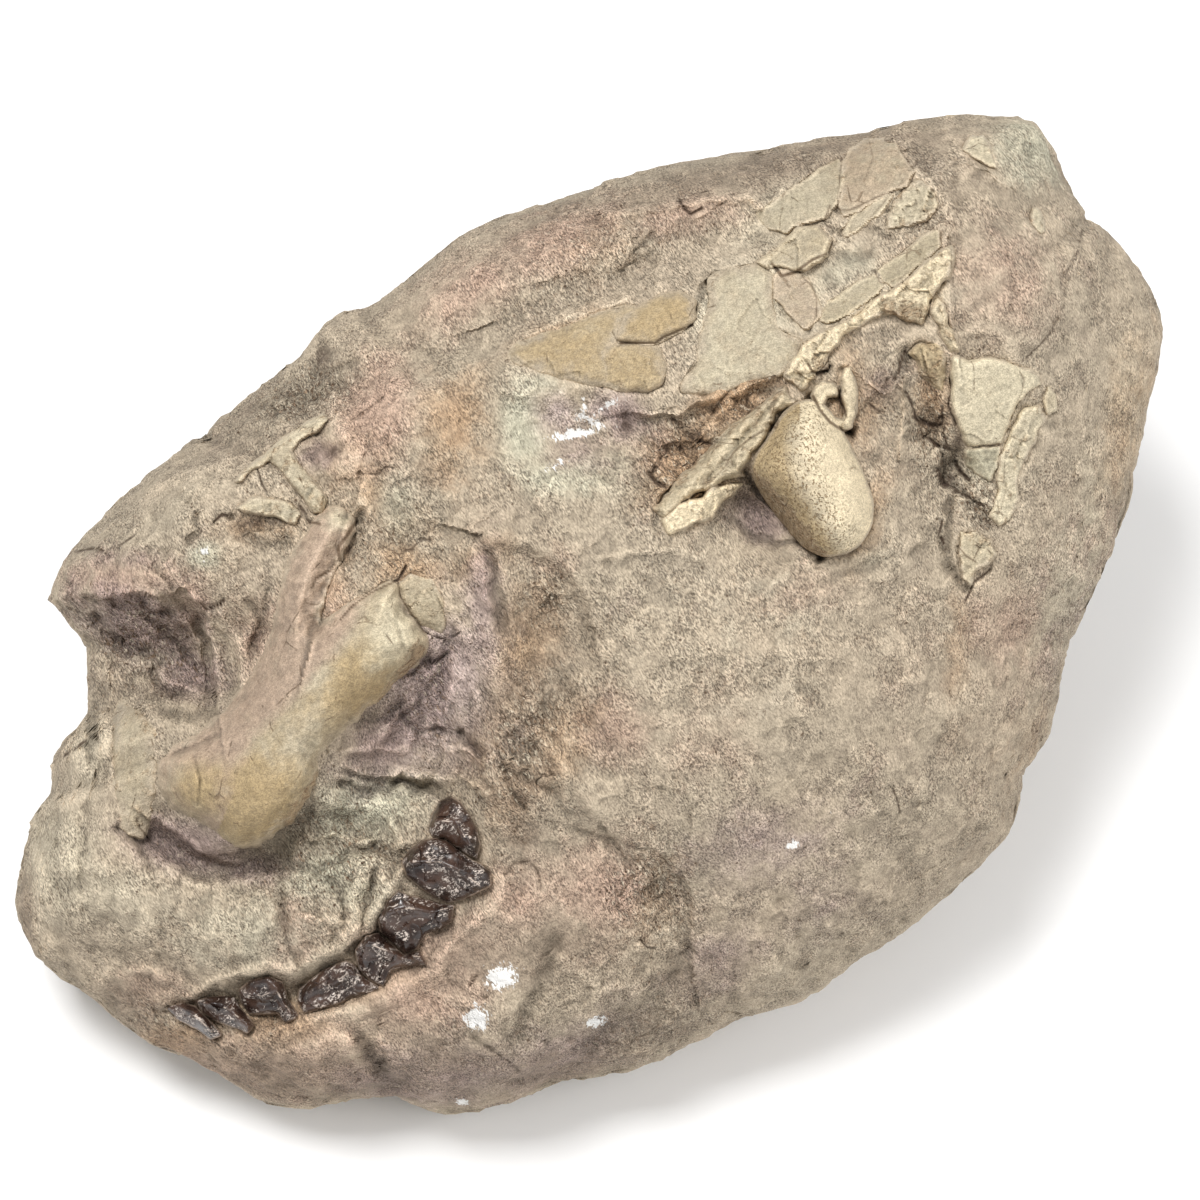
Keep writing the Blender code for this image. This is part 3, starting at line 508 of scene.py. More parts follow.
# Ridges and grooves: line, width, height.
FOLDS = [
    # edge of the brow and the deep gap under it
    ([(-82.8, 2), (-80, -3), (-78, -9.6), (-76.8, -18)], 1.0, 1.6),
    ([(-109.6, -0.6), (-105.2, 1.2), (-100.4, 0.4), (-94, 1), (-88, -1), (-82.8, 0.4)], 1.0, 1.0),
    ([(-107.2, 4.4), (-103.2, 1.2), (-100.4, -0.8)], 0.6, -1.0),
    ([(-100, -4), (-96.4, -8.8), (-92.8, -10), (-88.8, -13.6)], 1.0, -1.8),
    ([(-90, -12.8), (-87.2, -16), (-82.8, -18), (-78.8, -18.8)], 0.8, 1.2),
    ([(-90, -14.4), (-88, -17.6), (-84, -19.6)], 0.7, -1.6),
    ([(-100, -1.2), (-94, -5.2), (-89.6, -8.8)], 1.2, 1.2),
    ([(-92, -1.2), (-89.6, -2.4), (-86.4, -2.4)], 0.8, -1.4),
    ([(-90, -4), (-85.6, -8.8), (-80.8, -14)], 1.0, -1.5),
    ([(-84.8, -2), (-81.6, -7.2), (-79.2, -13.6)], 0.9, 1.0),
    ([(-80.8, -4), (-78.8, -10), (-78.4, -18)], 0.8, -1.6),
    ([(-76.8, -2.4), (-72.8, -8), (-72, -16)], 1.6, 1.2),
    ([(-90, 7.6), (-87.6, 5.2), (-85.6, 2)], 0.5, -1.0),
    ([(-82.8, 12), (-80, 14), (-80.8, 16)], 0.6, -0.8),
    ([(-69.6, -0.8), (-67.6, -5.2), (-68.8, -10)], 1.0, -1.2),
    ([(-72, 12), (-67.2, 10.8), (-63.2, 12.4)], 1.2, -0.8),
    ([(-66, 2), (-67.2, -4.4), (-70, -11.2)], 1.0, -0.8),
    # muzzle
    ([(-98.4, -10), (-99.2, -20), (-98.4, -31.2)], 1.4, 0.8),
    ([(-100.4, -18), (-100.8, -24), (-102, -32)], 0.9, -1.6),
    ([(-103.6, -28), (-105.6, -40), (-106.8, -54)], 2.0, 0.7),
    ([(-102, -40), (-103.2, -50), (-104.8, -56)], 0.7, -0.6),
    ([(-108, -40), (-109.6, -52), (-108.8, -66)], 1.2, -0.4),
    ([(-112, -52), (-113.2, -62), (-111.2, -70)], 1.2, 1.2),
    ([(-106.8, -56), (-108, -66), (-106, -77)], 1.0, -0.4),
    ([(-96, -46), (-92, -48.4), (-90, -54)], 0.9, -1.2),
    ([(-103.2, -72.4), (-98, -74), (-90, -74.4), (-84, -77)], 1.2, 1.0),
    ([(-90, -47.6), (-82, -52.4), (-72, -53.6), (-64.8, -50), (-59.6, -42.4)], 2.6, -2.6),
    ([(-88, -44), (-80, -50), (-72.8, -52.4)], 0.9, 0.9),
    ([(-86, -53.6), (-80, -56.8), (-70, -56)], 0.9, 0.8),
    ([(-88, -22), (-82, -23.2), (-77.2, -22.4)], 1.0, -0.9),
    # sockets of the teeth
    ([
        (-88, -80), (-80, -77.6), (-72.8, -75.2), (-67.6, -73.2), (-60, -73.6), (-52.8, -70),
        (-48, -66), (-44.4, -61.6), (-39.6, -54.8),
    ], 1.3, 1.6),
    ([
        (-78.8, -90), (-68.8, -88.4), (-56, -84.4), (-41.6, -79.2), (-32.8, -74.4), (-26.8, -66),
        (-20.4, -57.2),
    ], 2.0, 1.6),
    ([(-63.6, -60), (-62, -68), (-59.6, -74)], 0.8, -0.8),
    ([(-60, -63), (-52, -65), (-50, -69)], 1.0, 1.0),
    ([(-47.6, -52.8), (-50, -60), (-49.6, -66.8)], 1.1, 1.0),
    ([(-42.8, -53.6), (-44.4, -59.2), (-46.8, -65.2)], 1.1, 1.1),
    ([(-45.2, -54.4), (-47.2, -60), (-48, -66)], 0.7, -1.0),
    ([(-54, -56), (-52.4, -61), (-51.2, -66)], 0.8, -0.8),
    ([(-66.4, -52.4), (-56.4, -54.4), (-50, -49.6), (-45.6, -50.4)], 0.8, -1.2),
    ([(-60, -48.4), (-54, -46.4), (-45.6, -48)], 0.8, 0.9),
    ([(-45.6, -49.2), (-42.4, -52), (-39.6, -51.6)], 1.2, -1.8),
    ([(-42, -44), (-40.8, -48), (-39.6, -51.6)], 1.0, 1.4),
    ([(-52, -36.8), (-48, -38), (-40, -36.4), (-32, -39.6)], 0.8, -1.8),
    ([(-50.8, -34), (-44, -35.6), (-34, -35.2)], 1.0, 1.2),
    ([(-56, -40), (-50, -41.2), (-42, -40)], 1.0, 0.8),
    # hollow behind the cheek bone and the flutes on its wall
    ([(-24.8, 10.4), (-23.6, 5.2), (-22.4, -0.8)], 0.9, 1.9),
    ([(-21.6, 9.6), (-20.4, 2), (-20, -5.6)], 1.2, -1.6),
    ([(-39.2, -15.2), (-35.2, -13.6), (-30, -11.2)], 0.5, -1.3),
    ([(-26, -8), (-27.6, -16), (-32, -23.2), (-38, -28.8)], 1.2, 0.8),
    ([(-29.6, -6), (-30.8, -12.8), (-34.4, -18.8), (-39.2, -23.2)], 0.7, -0.7),
    ([(-39.2, -22.8), (-36, -25.6), (-30.8, -26.2)], 0.6, -1.2),
    ([(-27.6, -26.8), (-25.6, -29.2), (-24, -31.2)], 0.9, -2.6),
    ([(-34, -28), (-28, -30.4), (-23.2, -32.4)], 0.8, 0.9),
    ([(-50, -29.6), (-44, -28.8), (-38, -30.4)], 0.9, 0.9),
    ([(-51.2, -34.8), (-44, -36), (-39.2, -36.4), (-34, -39.2)], 0.6, -1.6),
    ([(-39.2, -34), (-34, -36.4), (-29.6, -36.8)], 1.0, 1.2),
    ([(-29.6, -34), (-26, -37.2), (-22, -39.2)], 0.7, 1.1),
    ([(-20, -31.2), (-17.2, -38), (-15.2, -42.4)], 0.6, -1.0),
    ([(-48, -24), (-42, -22.4), (-39.2, -20)], 0.9, -1.0),
    ([(-46.8, -28), (-43.2, -25.6), (-40.4, -23.2)], 0.8, 0.9),
    ([(-16, -34.4), (-10, -38), (-6.8, -42.4)], 1.2, -0.9),
    ([(-20, -22.4), (-12, -27.6), (-5.2, -34.4)], 1.0, 0.4),
    ([(-8.8, -12), (-4, -20), (2, -28)], 2.0, -0.6),
    # lower jaw
    ([(-43.2, -100), (-44.8, -92.8), (-48.8, -86.8)], 1.8, -2.0),
    ([(-60, -101.2), (-52, -98), (-44.8, -98.4)], 1.2, -1.0),
    ([(-26, -87.2), (-20.4, -90.8), (-14, -95.2)], 0.8, -0.5),
    ([(-8.8, -69.6), (-12, -78), (-17.6, -86)], 2.0, -1.0),
    ([(16, -72), (8, -82), (-2, -89.2)], 2.4, -0.9),
    ([(-60, -90.4), (-50, -88), (-40, -90)], 2.4, 1.2),
    ([(-84, -89.6), (-74, -92), (-62, -90.4)], 1.4, 0.9),
    ([(-8, -72), (0, -78), (8, -76.8)], 1.4, 0.8),
    # skull roof
    ([(-73.6, 39.6), (-64, 45.6), (-54, 52.4)], 1.6, 1.4),
    ([(-70, 38), (-60, 42.4), (-49.6, 46.8)], 1.0, -1.0),
    ([(-54.8, 51.2), (-55.6, 47.6), (-57.6, 44.8)], 1.2, -1.8),
    ([(-64, 37.6), (-58.8, 40.8), (-52, 42.4)], 1.0, -1.3),
    ([(-92, 20), (-84, 24.4), (-74.8, 28)], 1.4, 0.9),
    ([(-52.8, 36), (-49.6, 26), (-48.8, 18.4)], 2.6, 1.8),
    ([(-48.8, 16), (-50, 10.8), (-52, 8)], 1.2, -1.6),
    ([(-20, 56), (-8.8, 60), (4, 66.4), (18, 75.6)], 1.6, -0.4),
    ([(-16, 48.8), (-8, 54), (4, 60)], 1.6, 0.7),
    ([(10, 73.6), (8, 71.2), (6.4, 70)], 0.5, -0.8),
    ([(0, 76.8), (10, 77.2), (20, 80), (30, 79.4), (32.8, 77.2)], 0.9, 0.9),
    ([(18, 56.4), (20.4, 60), (22.4, 65.6)], 0.7, -0.8),
    ([(62.4, 86.8), (67.2, 82), (69.2, 76), (68.8, 70)], 1.2, 0.9),
    ([(44, 70), (50, 67.6), (54.4, 70)], 1.2, -0.9),
    ([(48, 73.6), (54, 74.8), (58, 73.6)], 0.8, -0.8),
    # ear region
    ([(28.4, 26.4), (32, 22.4), (36, 18.4), (40, 13.6), (43.6, 9.2)], 0.9, -2.6),
    ([(26, 16), (28.4, 14), (31.2, 12.4), (35.2, 11.4), (40, 12)], 0.6, -1.2),
    ([(28.8, 42.8), (25.2, 39.2), (21.2, 35.2), (20, 32)], 0.9, 1.2),
    ([(20, 32), (16.8, 26), (14.4, 20), (12, 15.6)], 0.7, -0.7),
    ([(8, 37.6), (12.8, 37.2), (18, 39.2)], 0.6, 0.9),
    ([(20, 39.6), (24.8, 43.2), (29.2, 44.8), (34, 44)], 0.9, 1.3),
    ([(32, 34), (35.2, 35.2), (36, 37.6)], 0.7, -1.2),
    ([(38.4, 45.6), (40, 47.2), (43.6, 46.8), (45.2, 48.4)], 0.6, -1.4),
    ([(42, 47.6), (43.2, 45.2), (44.8, 45.6), (46, 46.8)], 0.5, -1.6),
    ([(41.2, 40), (43.2, 37.6), (45.2, 35.2), (47.2, 34), (50, 33.6)], 0.8, -1.8),
    ([(7.2, 37.2), (18, 39.2), (28.8, 42.8), (37.2, 45.6)], 1.0, 1.3),
    ([(15.2, 35.2), (20, 33.2), (23.2, 29.6)], 0.6, -0.6),
    ([(13.6, 30.8), (20, 32), (22.4, 34)], 0.6, -0.6),
    ([(20, 40.8), (22.4, 38), (21.2, 34)], 0.6, -0.5),
    ([(26, 40.4), (29.6, 37.6), (32, 34)], 0.6, -0.5),
    ([(49.2, 47.2), (53.2, 44), (57, 41.8), (60.4, 45.2)], 0.5, 1.2),
    ([(60.8, 45.6), (60.6, 38), (60, 28)], 0.5, 1.3),
    ([(59.6, 44.4), (61.2, 48), (65.2, 51.2)], 0.6, -1.3),
    ([(48, 34), (52, 29.6), (56, 27.6)], 1.2, -0.6),
    # cracks at the back of the skull and down the flank
    ([(73.2, 86.8), (78, 84.8), (81.6, 82.8)], 0.6, 0.8),
    ([(68, 28.8), (68.8, 24.4), (72.4, 21.2)], 0.7, -1.6),
    ([(70, 20), (68.8, 16), (69.6, 8.8), (73.2, 2.8)], 0.8, -1.2),
    ([(54, 8), (60, 8.8), (66, 10.4)], 0.8, -0.5),
    ([(44, 4), (50, 5.6), (56, 6.8)], 1.0, -0.6),
    ([(0, 8), (8, 10.4), (20, 9.6)], 1.0, 0.6),
]
# Thin dark cracks: line, width, depth.
CRACKS = [
    ([
        (97.2, 77.2), (95.6, 70), (92.8, 64), (93.2, 59.6), (90.4, 53.6), (87.6, 50.8), (84.4, 47.6),
    ], 0.28, 0.5),
    ([(80, 83.6), (84, 81.6), (88, 79.2), (92, 72.8), (92.8, 67.6)], 0.3, 0.15),
    ([(74.4, 48.2), (76, 49.6), (77, 50.8)], 0.25, 0.5),
    ([(72, 6.8), (74.8, -2), (73.6, -12), (71.2, -20)], 0.25, 0.22),
    ([(58.6, -37.6), (59.4, -40), (60, -42.4)], 0.3, 0.5),
    ([(4, 51.4), (11, 51.4), (12.8, 52.6), (18.4, 55)], 0.35, 1.3),
    ([(16, 80), (16.8, 78.4), (18.2, 77.2), (20.4, 78.4)], 0.3, 0.8),
    ([(18, 80.8), (22.4, 82)], 0.25, 0.3),
    ([(-38.8, 6.8), (-40.4, 4), (-45.6, 1.6), (-49.6, -1.2), (-52, -4)], 0.3, 0.8),
    ([(-40.4, 3.2), (-40, 0.8), (-38, -2.4), (-35.2, -6.4), (-30.8, -8)], 0.3, 0.6),
    ([(14.4, 36.4), (16.8, 34), (18.8, 32), (22.4, 31.2)], 0.35, 0.7),
    ([(10.4, 25.2), (11.6, 27.6), (12.8, 30), (15.2, 31), (17.6, 29)], 0.3, 0.9),
    ([(10, 25.2), (11.2, 23.6), (12.8, 22.8)], 0.5, 1.2),
    ([(29.2, 40.8), (29.6, 38.4), (32, 38.4)], 0.3, 0.7),
    ([(34, 35.2), (35.2, 34.4), (35.6, 36)], 0.4, 0.8),
    ([(25.2, 27.2), (26.8, 29.6), (29.6, 32), (32.8, 34)], 0.35, 0.6),
    ([(18, 20.4), (22.4, 24), (26, 27.6)], 0.35, 0.5),
    ([(-79.8, -0.8), (-78.4, -2), (-76, -0.8), (-75.2, 0)], 0.35, 0.8),
    ([(-108, 8.8), (-103.6, 10), (-100, 10.4), (-98.4, 8.8)], 0.35, 0.6),
    ([(-96.8, 10.4), (-93.2, 12.8)], 0.3, 0.5),
    ([(-77.2, 15.6), (-75.6, 17.2), (-73.6, 16.4)], 0.35, 0.8),
    ([(-18.8, -54.8), (-17.2, -52.8), (-14.4, -52.2), (-12.4, -54), (-11.8, -57.6)], 0.4, 0.45),
    ([(53.8, 91.8), (54.6, 88.4), (53.2, 84.8)], 0.28, 0.4),
    ([(48.4, 88.4), (48, 84.8), (47.6, 80.8), (47.6, 78)], 0.28, 0.5),
    ([(47.6, 78), (50, 78), (56, 80.8), (58.8, 82)], 0.3, 0.6),
    ([(51.2, 74.2), (54.4, 76.8), (57.2, 80), (58.6, 81.6)], 0.28, 0.5),
    ([(56.4, 75.6), (58.8, 80), (62, 83.2)], 0.28, 0.4),
    ([(58.8, 82), (62.4, 85.2), (63.6, 88)], 0.25, 0.4),
    ([(40, 82.8), (41.6, 80.8), (41.2, 77.2)], 0.22, 0.3),
    ([(46, 78.8), (44.8, 75.6), (46.4, 74.4)], 0.4, 0.6),
    ([(34.4, 67.2), (36.4, 64.8), (39.2, 65.6), (42.4, 68), (45.2, 69.2)], 0.4, 1.0),
    ([(40.4, 64.8), (42.4, 62.8), (43.4, 60), (43.2, 56.8), (41.6, 53.2)], 0.3, 0.5),
    ([(54.8, 66), (56, 63.6), (57.6, 62.8)], 0.28, 0.5),
    ([(44, 55.6), (48, 55.2), (52, 56.4), (58, 60.8)], 0.25, 0.4),
    ([(59.6, 64), (62.4, 66), (66, 68.8), (67.2, 70.4)], 0.28, 0.5),
    ([(61.6, 50.4), (60.4, 48.8), (59.8, 45.6), (57.6, 42.4)], 0.35, 0.9),
    ([(29.2, 50), (35.2, 47.6), (34.4, 46.8)], 0.2, 0.25),
    ([(70.4, 44), (69.6, 39.2), (71.2, 35.2)], 0.3, 0.6),
    ([(74.4, 30.4), (76.8, 30.8), (80, 31.2)], 0.3, 0.6),
    ([(82, 32.8), (84.8, 31.6), (87.2, 32.8)], 0.25, 0.5),
    ([(84, 45.6), (84.8, 44), (84.4, 41.6), (83.2, 39.2)], 0.28, 0.5),
    ([(81.2, 30), (80.8, 26), (81.2, 22), (80, 17.6)], 0.25, 0.4),
    ([(61.2, 41.6), (62.4, 39.2), (63.2, 36), (64.8, 35.2)], 0.35, 0.8),
    ([(64, 36.4), (66.4, 34.8), (68.8, 35.2)], 0.4, 1.0),
    ([(65.2, 32.8), (67.6, 30.8), (70, 30.4)], 0.35, 0.9),
    ([(41.6, 47.2), (42.4, 45.8), (44.4, 45.2), (46, 46.8)], 0.35, 1.0),
    ([(42.6, 40.8), (44, 38), (46, 35.6), (48.4, 34), (50, 33.6)], 0.4, 1.2),
    ([(47.6, 42.4), (48.4, 39.6), (49.2, 36.8)], 0.3, 0.9),
    ([(68.4, 39.2), (68.8, 32.8), (70, 30)], 0.35, 0.6),
    ([(67.6, 26), (68.8, 23.2), (71.6, 21.6)], 0.5, 1.4),
    ([(71, 27.6), (72.4, 25.2), (74, 24)], 0.5, 1.4),
    ([(68.4, 16), (68, 13.2), (69.2, 10)], 0.3, 0.8),
    ([(71.6, 10.8), (73.2, 8.8), (75.2, 7.6)], 0.3, 0.6),
    ([(73.2, 0), (74.8, 3.6), (78, 6)], 0.35, 0.6),
    ([(72.4, 21.2), (75.2, 20), (76.8, 18.8)], 0.35, 0.9),
    ([(-87, -31.4), (-84, -30), (-80.4, -28.8), (-78.8, -27.6)], 0.3, 0.4),
    ([(-80, -20), (-77.6, -23.2), (-76.8, -26.8), (-78.8, -30.4)], 0.25, 0.35),
    ([(-80.8, -32), (-80, -36), (-80.4, -40.8)], 0.25, 0.3),
    ([(-90, -48), (-92, -45.6), (-92.8, -43.6)], 0.35, 0.6),
    ([(-102.8, -28), (-104.8, -29.6), (-107.2, -31.2)], 0.4, 0.7),
    ([(-64.4, -53.2), (-63.6, -60), (-62.8, -68)], 0.3, 0.4),
    ([(-54, 36.4), (-55.6, 34), (-56.8, 32.8)], 0.3, 0.6),
    ([(-52, 8), (-52.4, 10.4), (-50.4, 13.2), (-48.8, 15.6)], 0.5, 1.2),
    ([(-53.6, 6), (-56.8, 4.4), (-57.6, 2.4)], 0.35, 0.7),
    ([(-49.6, 36), (-47.6, 37.6), (-45.6, 38.8), (-43.2, 40.8)], 0.25, 0.5),
    ([(-48.4, 25.2), (-44.4, 25.2), (-42.8, 26.8), (-41.2, 26.4)], 0.25, 0.5),
    ([(-40, 10), (-37.6, 10.2), (-36, 12.4), (-34, 12)], 0.3, 0.6),
    ([(-60, 18.8), (-58, 15.6), (-56, 15.2)], 0.4, 0.8),
    ([(-68.4, 26), (-67.6, 23.2), (-66.4, 21.2)], 0.25, 0.6),
    ([(-26, -77), (-24.8, -75.2)], 0.3, 0.7),
    ([(-26, -87.2), (-20.4, -90.8), (-14, -95.2)], 0.3, 0.3),
    ([(89.6, 40), (90.8, 38.4), (88.8, 36.8)], 0.25, 0.3),
    ([(54, 39.6), (55.2, 38), (56.8, 37.6)], 0.3, 0.6),
    ([(51.2, 36.8), (53.2, 38.8), (55.6, 40.8), (57.2, 44), (59.2, 45.6)], 0.25, 0.6),
]
# Steps: line with its low side on the left, drop, width, reach.
SCARPS = [
    ([
        (-76.8, -18.8), (-78, -10), (-80, -3.2), (-82.8, 1.6), (-88, -0.6), (-94, 1), (-100.4, 0.4),
        (-105.2, 1.6), (-109.2, -0.4),
    ], 4.5, 0.5, 8.0),
    ([(-2.4, -4.8), (-4, 0.4), (-6, 4.8), (-11, 8.8), (-16, 11), (-23.2, 12.8)], 2.6, 0.9, 9.0),
    ([(0, -44.8), (-6, -36.4), (-13.6, -28.4), (-20, -21.2), (-23.6, -16), (-26.8, -10)], 2.6, 1.5, 9.0),
    ([(19.2, 76), (4, 66), (-8.8, 59.2), (-20.4, 55.6)], 1.3, 1.6, 8.0),
    ([(18.8, -72), (18, -58), (11, -50), (2, -47.6)], 1.6, 0.4, 9.0),
    ([
        (0.8, 77.2), (10, 77.4), (20, 80.2), (30, 79.6), (32.8, 77.2), (40, 83.6), (50, 90), (60, 93.6),
    ], -0.9, 0.8, 6.0),
    ([(-50, -100), (-45.6, -92), (-44, -86)], 1.2, 0.5, 5.0),
    ([(-57.6, -8), (-55.6, 0), (-52.8, 8), (-50.8, 15.2)], 2.2, 0.5, 9.0),
    ([(68, 32), (67.2, 40), (65.6, 45.6)], 1.6, 0.4, 5.0),
    ([(42, 45.6), (38, 45.2), (28.8, 42.8), (20, 39.6), (8, 37.6)], 1.7, 0.4, 7.0),
    ([(71.6, 51.2), (70.8, 60), (70, 69.6)], -1.4, 0.4, 5.0),
    ([(92.8, 67.6), (91.2, 73.6), (87.6, 79.6), (80, 84)], 0.7, 0.5, 5.0),
    ([(8, 8), (20, 9.6), (36, 8), (46, 4.8)], -0.3, 0.8, 8.0),
    ([(-97.6, -31.2), (-96.4, -23.6), (-94.4, -18)], 1.2, 0.5, 5.0),
    ([(-100.8, -34), (-99.2, -26), (-98.4, -18)], -1.4, 0.5, 5.0),
    ([(-60, -42.4), (-70, -50), (-80, -50.4), (-88, -45.2)], 1.6, 0.9, 6.0),
    ([(-52, 8), (-49.6, 10.4), (-40, 10.4), (-36, 12.8)], 0.9, 0.4, 5.0),
    ([(-70, 14), (-62, 16), (-58.8, 20)], 1.4, 0.4, 5.0),
    ([(24, -82), (18, -80), (8, -88), (-2, -93.2)], -1.0, 0.6, 8.0),
    ([(80, -48), (72, -40), (60, -52), (48, -66)], 0.9, 0.8, 10.0),
]
# Hollows and rises too small for the CAD: middle, size, height, turn.
SWELLS = [
    ((-90, -11), (10, 5), -3.0, -25),
    ((-79, -18), (7, 3), -2.5, -10),
    ((-71, 0), (7, 14), -2.5, 10),
    ((-56.4, 29), (4, 2.6), -2.5, 30),
    ((-60, 41), (7, 4), -1.5, 20),
    ((-5, 34.4), (14, 6), -2.5, 10),
    ((5.2, 34.8), (1.6, 2.0), -1.6, 0),
    ((-10.4, 26), (10, 5), 1.2, 0),
    ((16, 29), (6, 5), -0.7, 0),
    ((32.8, 16), (9, 5.5), -4.0, -35),
    ((18, 26), (5, 9), -0.6, 40),
    ((28.4, 21.2), (3, 6), -1.6, 45),
    ((56, 36), (5, 9), -2.0, 0),
    ((48, 51), (7, 3), -1.2, 20),
    ((69.6, 26.4), (1.8, 5), -3.0, -20),
    ((65.6, 36), (4, 6), -1.4, 0),
    ((72.4, 26), (2.5, 4), -2.5, 0),
    ((36, 62), (12, 6), -0.8, 30),
    ((60, 70), (12, 5), -1.2, 35),
    ((10, -60), (8, 9), -1.4, 0),
    ((-32, -52), (12, 12), -1.6, 40),
    ((-54, -77), (16, 6), -1.4, 15),
    ((-72, -82), (12, 5), -1.2, 5),
    ((-108, -32), (6, 8), -1.2, 20),
    ((80, -8), (9, 14), -1.2, 0),
    ((-38, -28), (9, 8), -2.5, 30),
    ((-47, -40), (8, 4), 1.2, 0),
    ((-50, -52), (7, 4), 1.0, 0),
    ((80, 62), (11, 9), 1.4, 0),
    ((-78, 10), (5, 4), 0.8, 0),
    ((-51, 0.4), (4, 8), 2.4, -35),
    ((-32, -20), (10, 12), 2.6, 0),
]
# Where the stone is broken into small angular chips: middle, size, turn, strength.
CRUMBLED = [
    ((18, 28), (12, 9), 40, 1.0), ((29, 40), (14, 4), 40, 0.8), ((67, 34), (5, 12), 0, 1.0),
    ((-58, 41), (12, 6), 20, 0.8), ((65, 77), (6, 8), 0, 0.7), ((10, -59), (8, 12), 0, 1.0),
    ((-15, -28), (9, 16), -25, 0.8), ((-11, 0), (7, 9), -30, 0.6), ((-34, -21), (12, 14), 0, 0.5),
    ((-50, -50), (13, 12), 0, 0.7), ((-90, -8), (16, 9), -20, 0.8), ((-44, 10), (12, 8), 20, 0.6),
    ((2, 71), (16, 9), 20, 0.5), ((-66, 16), (10, 6), 0, 0.5), ((76, 19), (6, 5), 0, 1.0),
    ((8, -86), (20, 7), 15, 0.4), ((-80, -84), (20, 6), 0, 0.6), ((-60, -60), (10, 10), 0, 0.5),
    ((52, 40), (8, 8), 0, 0.3), ((100, -4), (12, 30), -20, 0.4),
]

def hairlines():
    """Short uneven cracks strewn over the crumbled places."""
    rows, draw = [], np.random.RandomState(5)
    for middle, size, _, strength in CRUMBLED:
        for _ in range(int(size[0] * size[1] * strength / 24)):
            at, way = np.array(middle) + draw.normal(0, 0.5, 2) * size, draw.uniform(0, 2 * math.pi)
            line = [tuple(at)]
            for _ in range(draw.randint(2, 5)):
                way += draw.normal(0, 0.8)
                at = at + draw.uniform(0.7, 1.9) * np.array([math.cos(way), math.sin(way)])
                line.append(tuple(at))
            rows.append((line, draw.uniform(0.2, 0.3), draw.uniform(0.15, 0.5)))
    return rows


CRACKS += hairlines()


def middle_ground(s, t):
    """Height of the stone with the forms that its bones follow too, and their weight, 0 at the rim."""
    share = np.minimum(np.hypot(s, t) / reach_at(np.arctan2(t, s)), 1)
    dome = (1 - share**FRONT_SQUARENESS) ** (1 / FRONT_SQUARENESS)
    weight = np.clip(dome / 0.5, 0, 1)
    weight = weight * weight * (3 - 2 * weight)
    high = FRONT_RISE * dome + weight * (relief(s, t) + LUMP_HEIGHT * lumps(s, t, 3.5))
    for line, drop, width, reach in SCARPS:
        high += weight * local(s, t, line, 2.5 * reach, lambda a, b: scarp(a, b, line, drop, width, reach))
    for middle, size, height, turn in SWELLS:
        high += weight * swell(s, t, middle, size, height, turn)
    return high, weight


def muzzle_ribs(s, t, ws, wt):
    """Fine upright ribs on the muzzle over the teeth."""
    upright = grain(np.column_stack([ws / 0.4, wt / 4, 0 * ws]), 3, 6)
    return swell(s, t, (-71, -67), (22, 9), 1.0, 4) * (0.6 * upright + 0.2 * grain(flat_points(s, t), 3, 6))


def hollow_flutes(s, t, ws, wt):
    """Curved flutes down the wall of the hollow behind the cheek bone."""
    across, along = 0.83 * ws + 0.56 * wt + 0.012 * wt * wt, 0.83 * wt - 0.56 * ws
    fluted = grain(np.column_stack([across / 1.1, along / 9, 0 * across]), 1.0, 15)
    return swell(s, t, (-32, -18), (11, 15), 1.0, -25) * 0.9 * fluted


def fine_ground(s, t):
    """Height of the stone with its small forms too, and how much of it they add."""
    flat = flat_points(s, t)
    ws = s + 1.2 * rough(flat, 9, 4, 0.6, seed=21)
    wt = t + 1.2 * rough(flat, 9, 4, 0.6, seed=31)
    high, weight = middle_ground(ws * 0.5 + s * 0.5, wt * 0.5 + t * 0.5)
    fine = np.zeros_like(high)
    for line, width, height in FOLDS:
        fine += local(ws, wt, line, 3 * width, lambda a, b: fold(a, b, line, width, 1.3 * height))
    fine -= cracked(s, t)[1]
    fine += muzzle_ribs(s, t, ws, wt)
    chipped = np.maximum(0.3, patches(s, t, CRUMBLED))
    fine += chipped * (1.1 * facets(ws, wt, 6.0, 1) + 0.7 * facets(ws + 0.4 * wt, wt, 2.8, 2))
    fine += hollow_flutes(s, t, ws, wt)
    return high + weight * fine, weight * fine


def seam(s, t):
    """How far each point is in the seam round a bone or tooth, and how far under one, both 0 to 1."""
    edge, under = np.zeros_like(s), np.zeros_like(s)
    broken = np.clip(0.55 + 0.9 * grain(flat_points(s, t), 4.0, 81), 0, 1)
    for name, (_, outline) in BONES.items():
        near = close_to(s, t, outline, 3)
        if near.any():
            look = LOOKS[name]
            d = inside(s[near], t[near], outline) + look["grow"]
            edge[near] = np.maximum(edge[near], look["gap"] * broken[near] * np.exp(-((d / 0.5) ** 2)))
            under[near] = np.maximum(under[near], np.clip((d - look["bury"]) / 1.2, 0, 1))
    return edge, under


# ---- meshes ---------------------------------------------------------------------------------------


def put(name, mesh, material, node, slot):
    """A finished mesh in the scene, in the place of its CAD node."""
    obj = bpy.data.objects.new(name, mesh)
    bpy.context.scene.collection.objects.link(obj)
    mesh.materials.clear()
    mesh.materials.append(material)
    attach(obj, "root")
    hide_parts(node)


def vectors(rows, key):
    """A vector for each of a mesh's points, as rows of three."""
    flat = np.zeros(len(rows) * 3, np.float32)
    rows.foreach_get(key, flat)
    return flat.reshape(-1, 3).astype(float)


def coords(mesh):
    return vectors(mesh.vertices, "co")


def normals(mesh):
    return vectors(mesh.vertex_normals, "vector")


def set_coords(mesh, points):
    mesh.vertices.foreach_set("co", points.astype(np.float32).ravel())
    mesh.update()


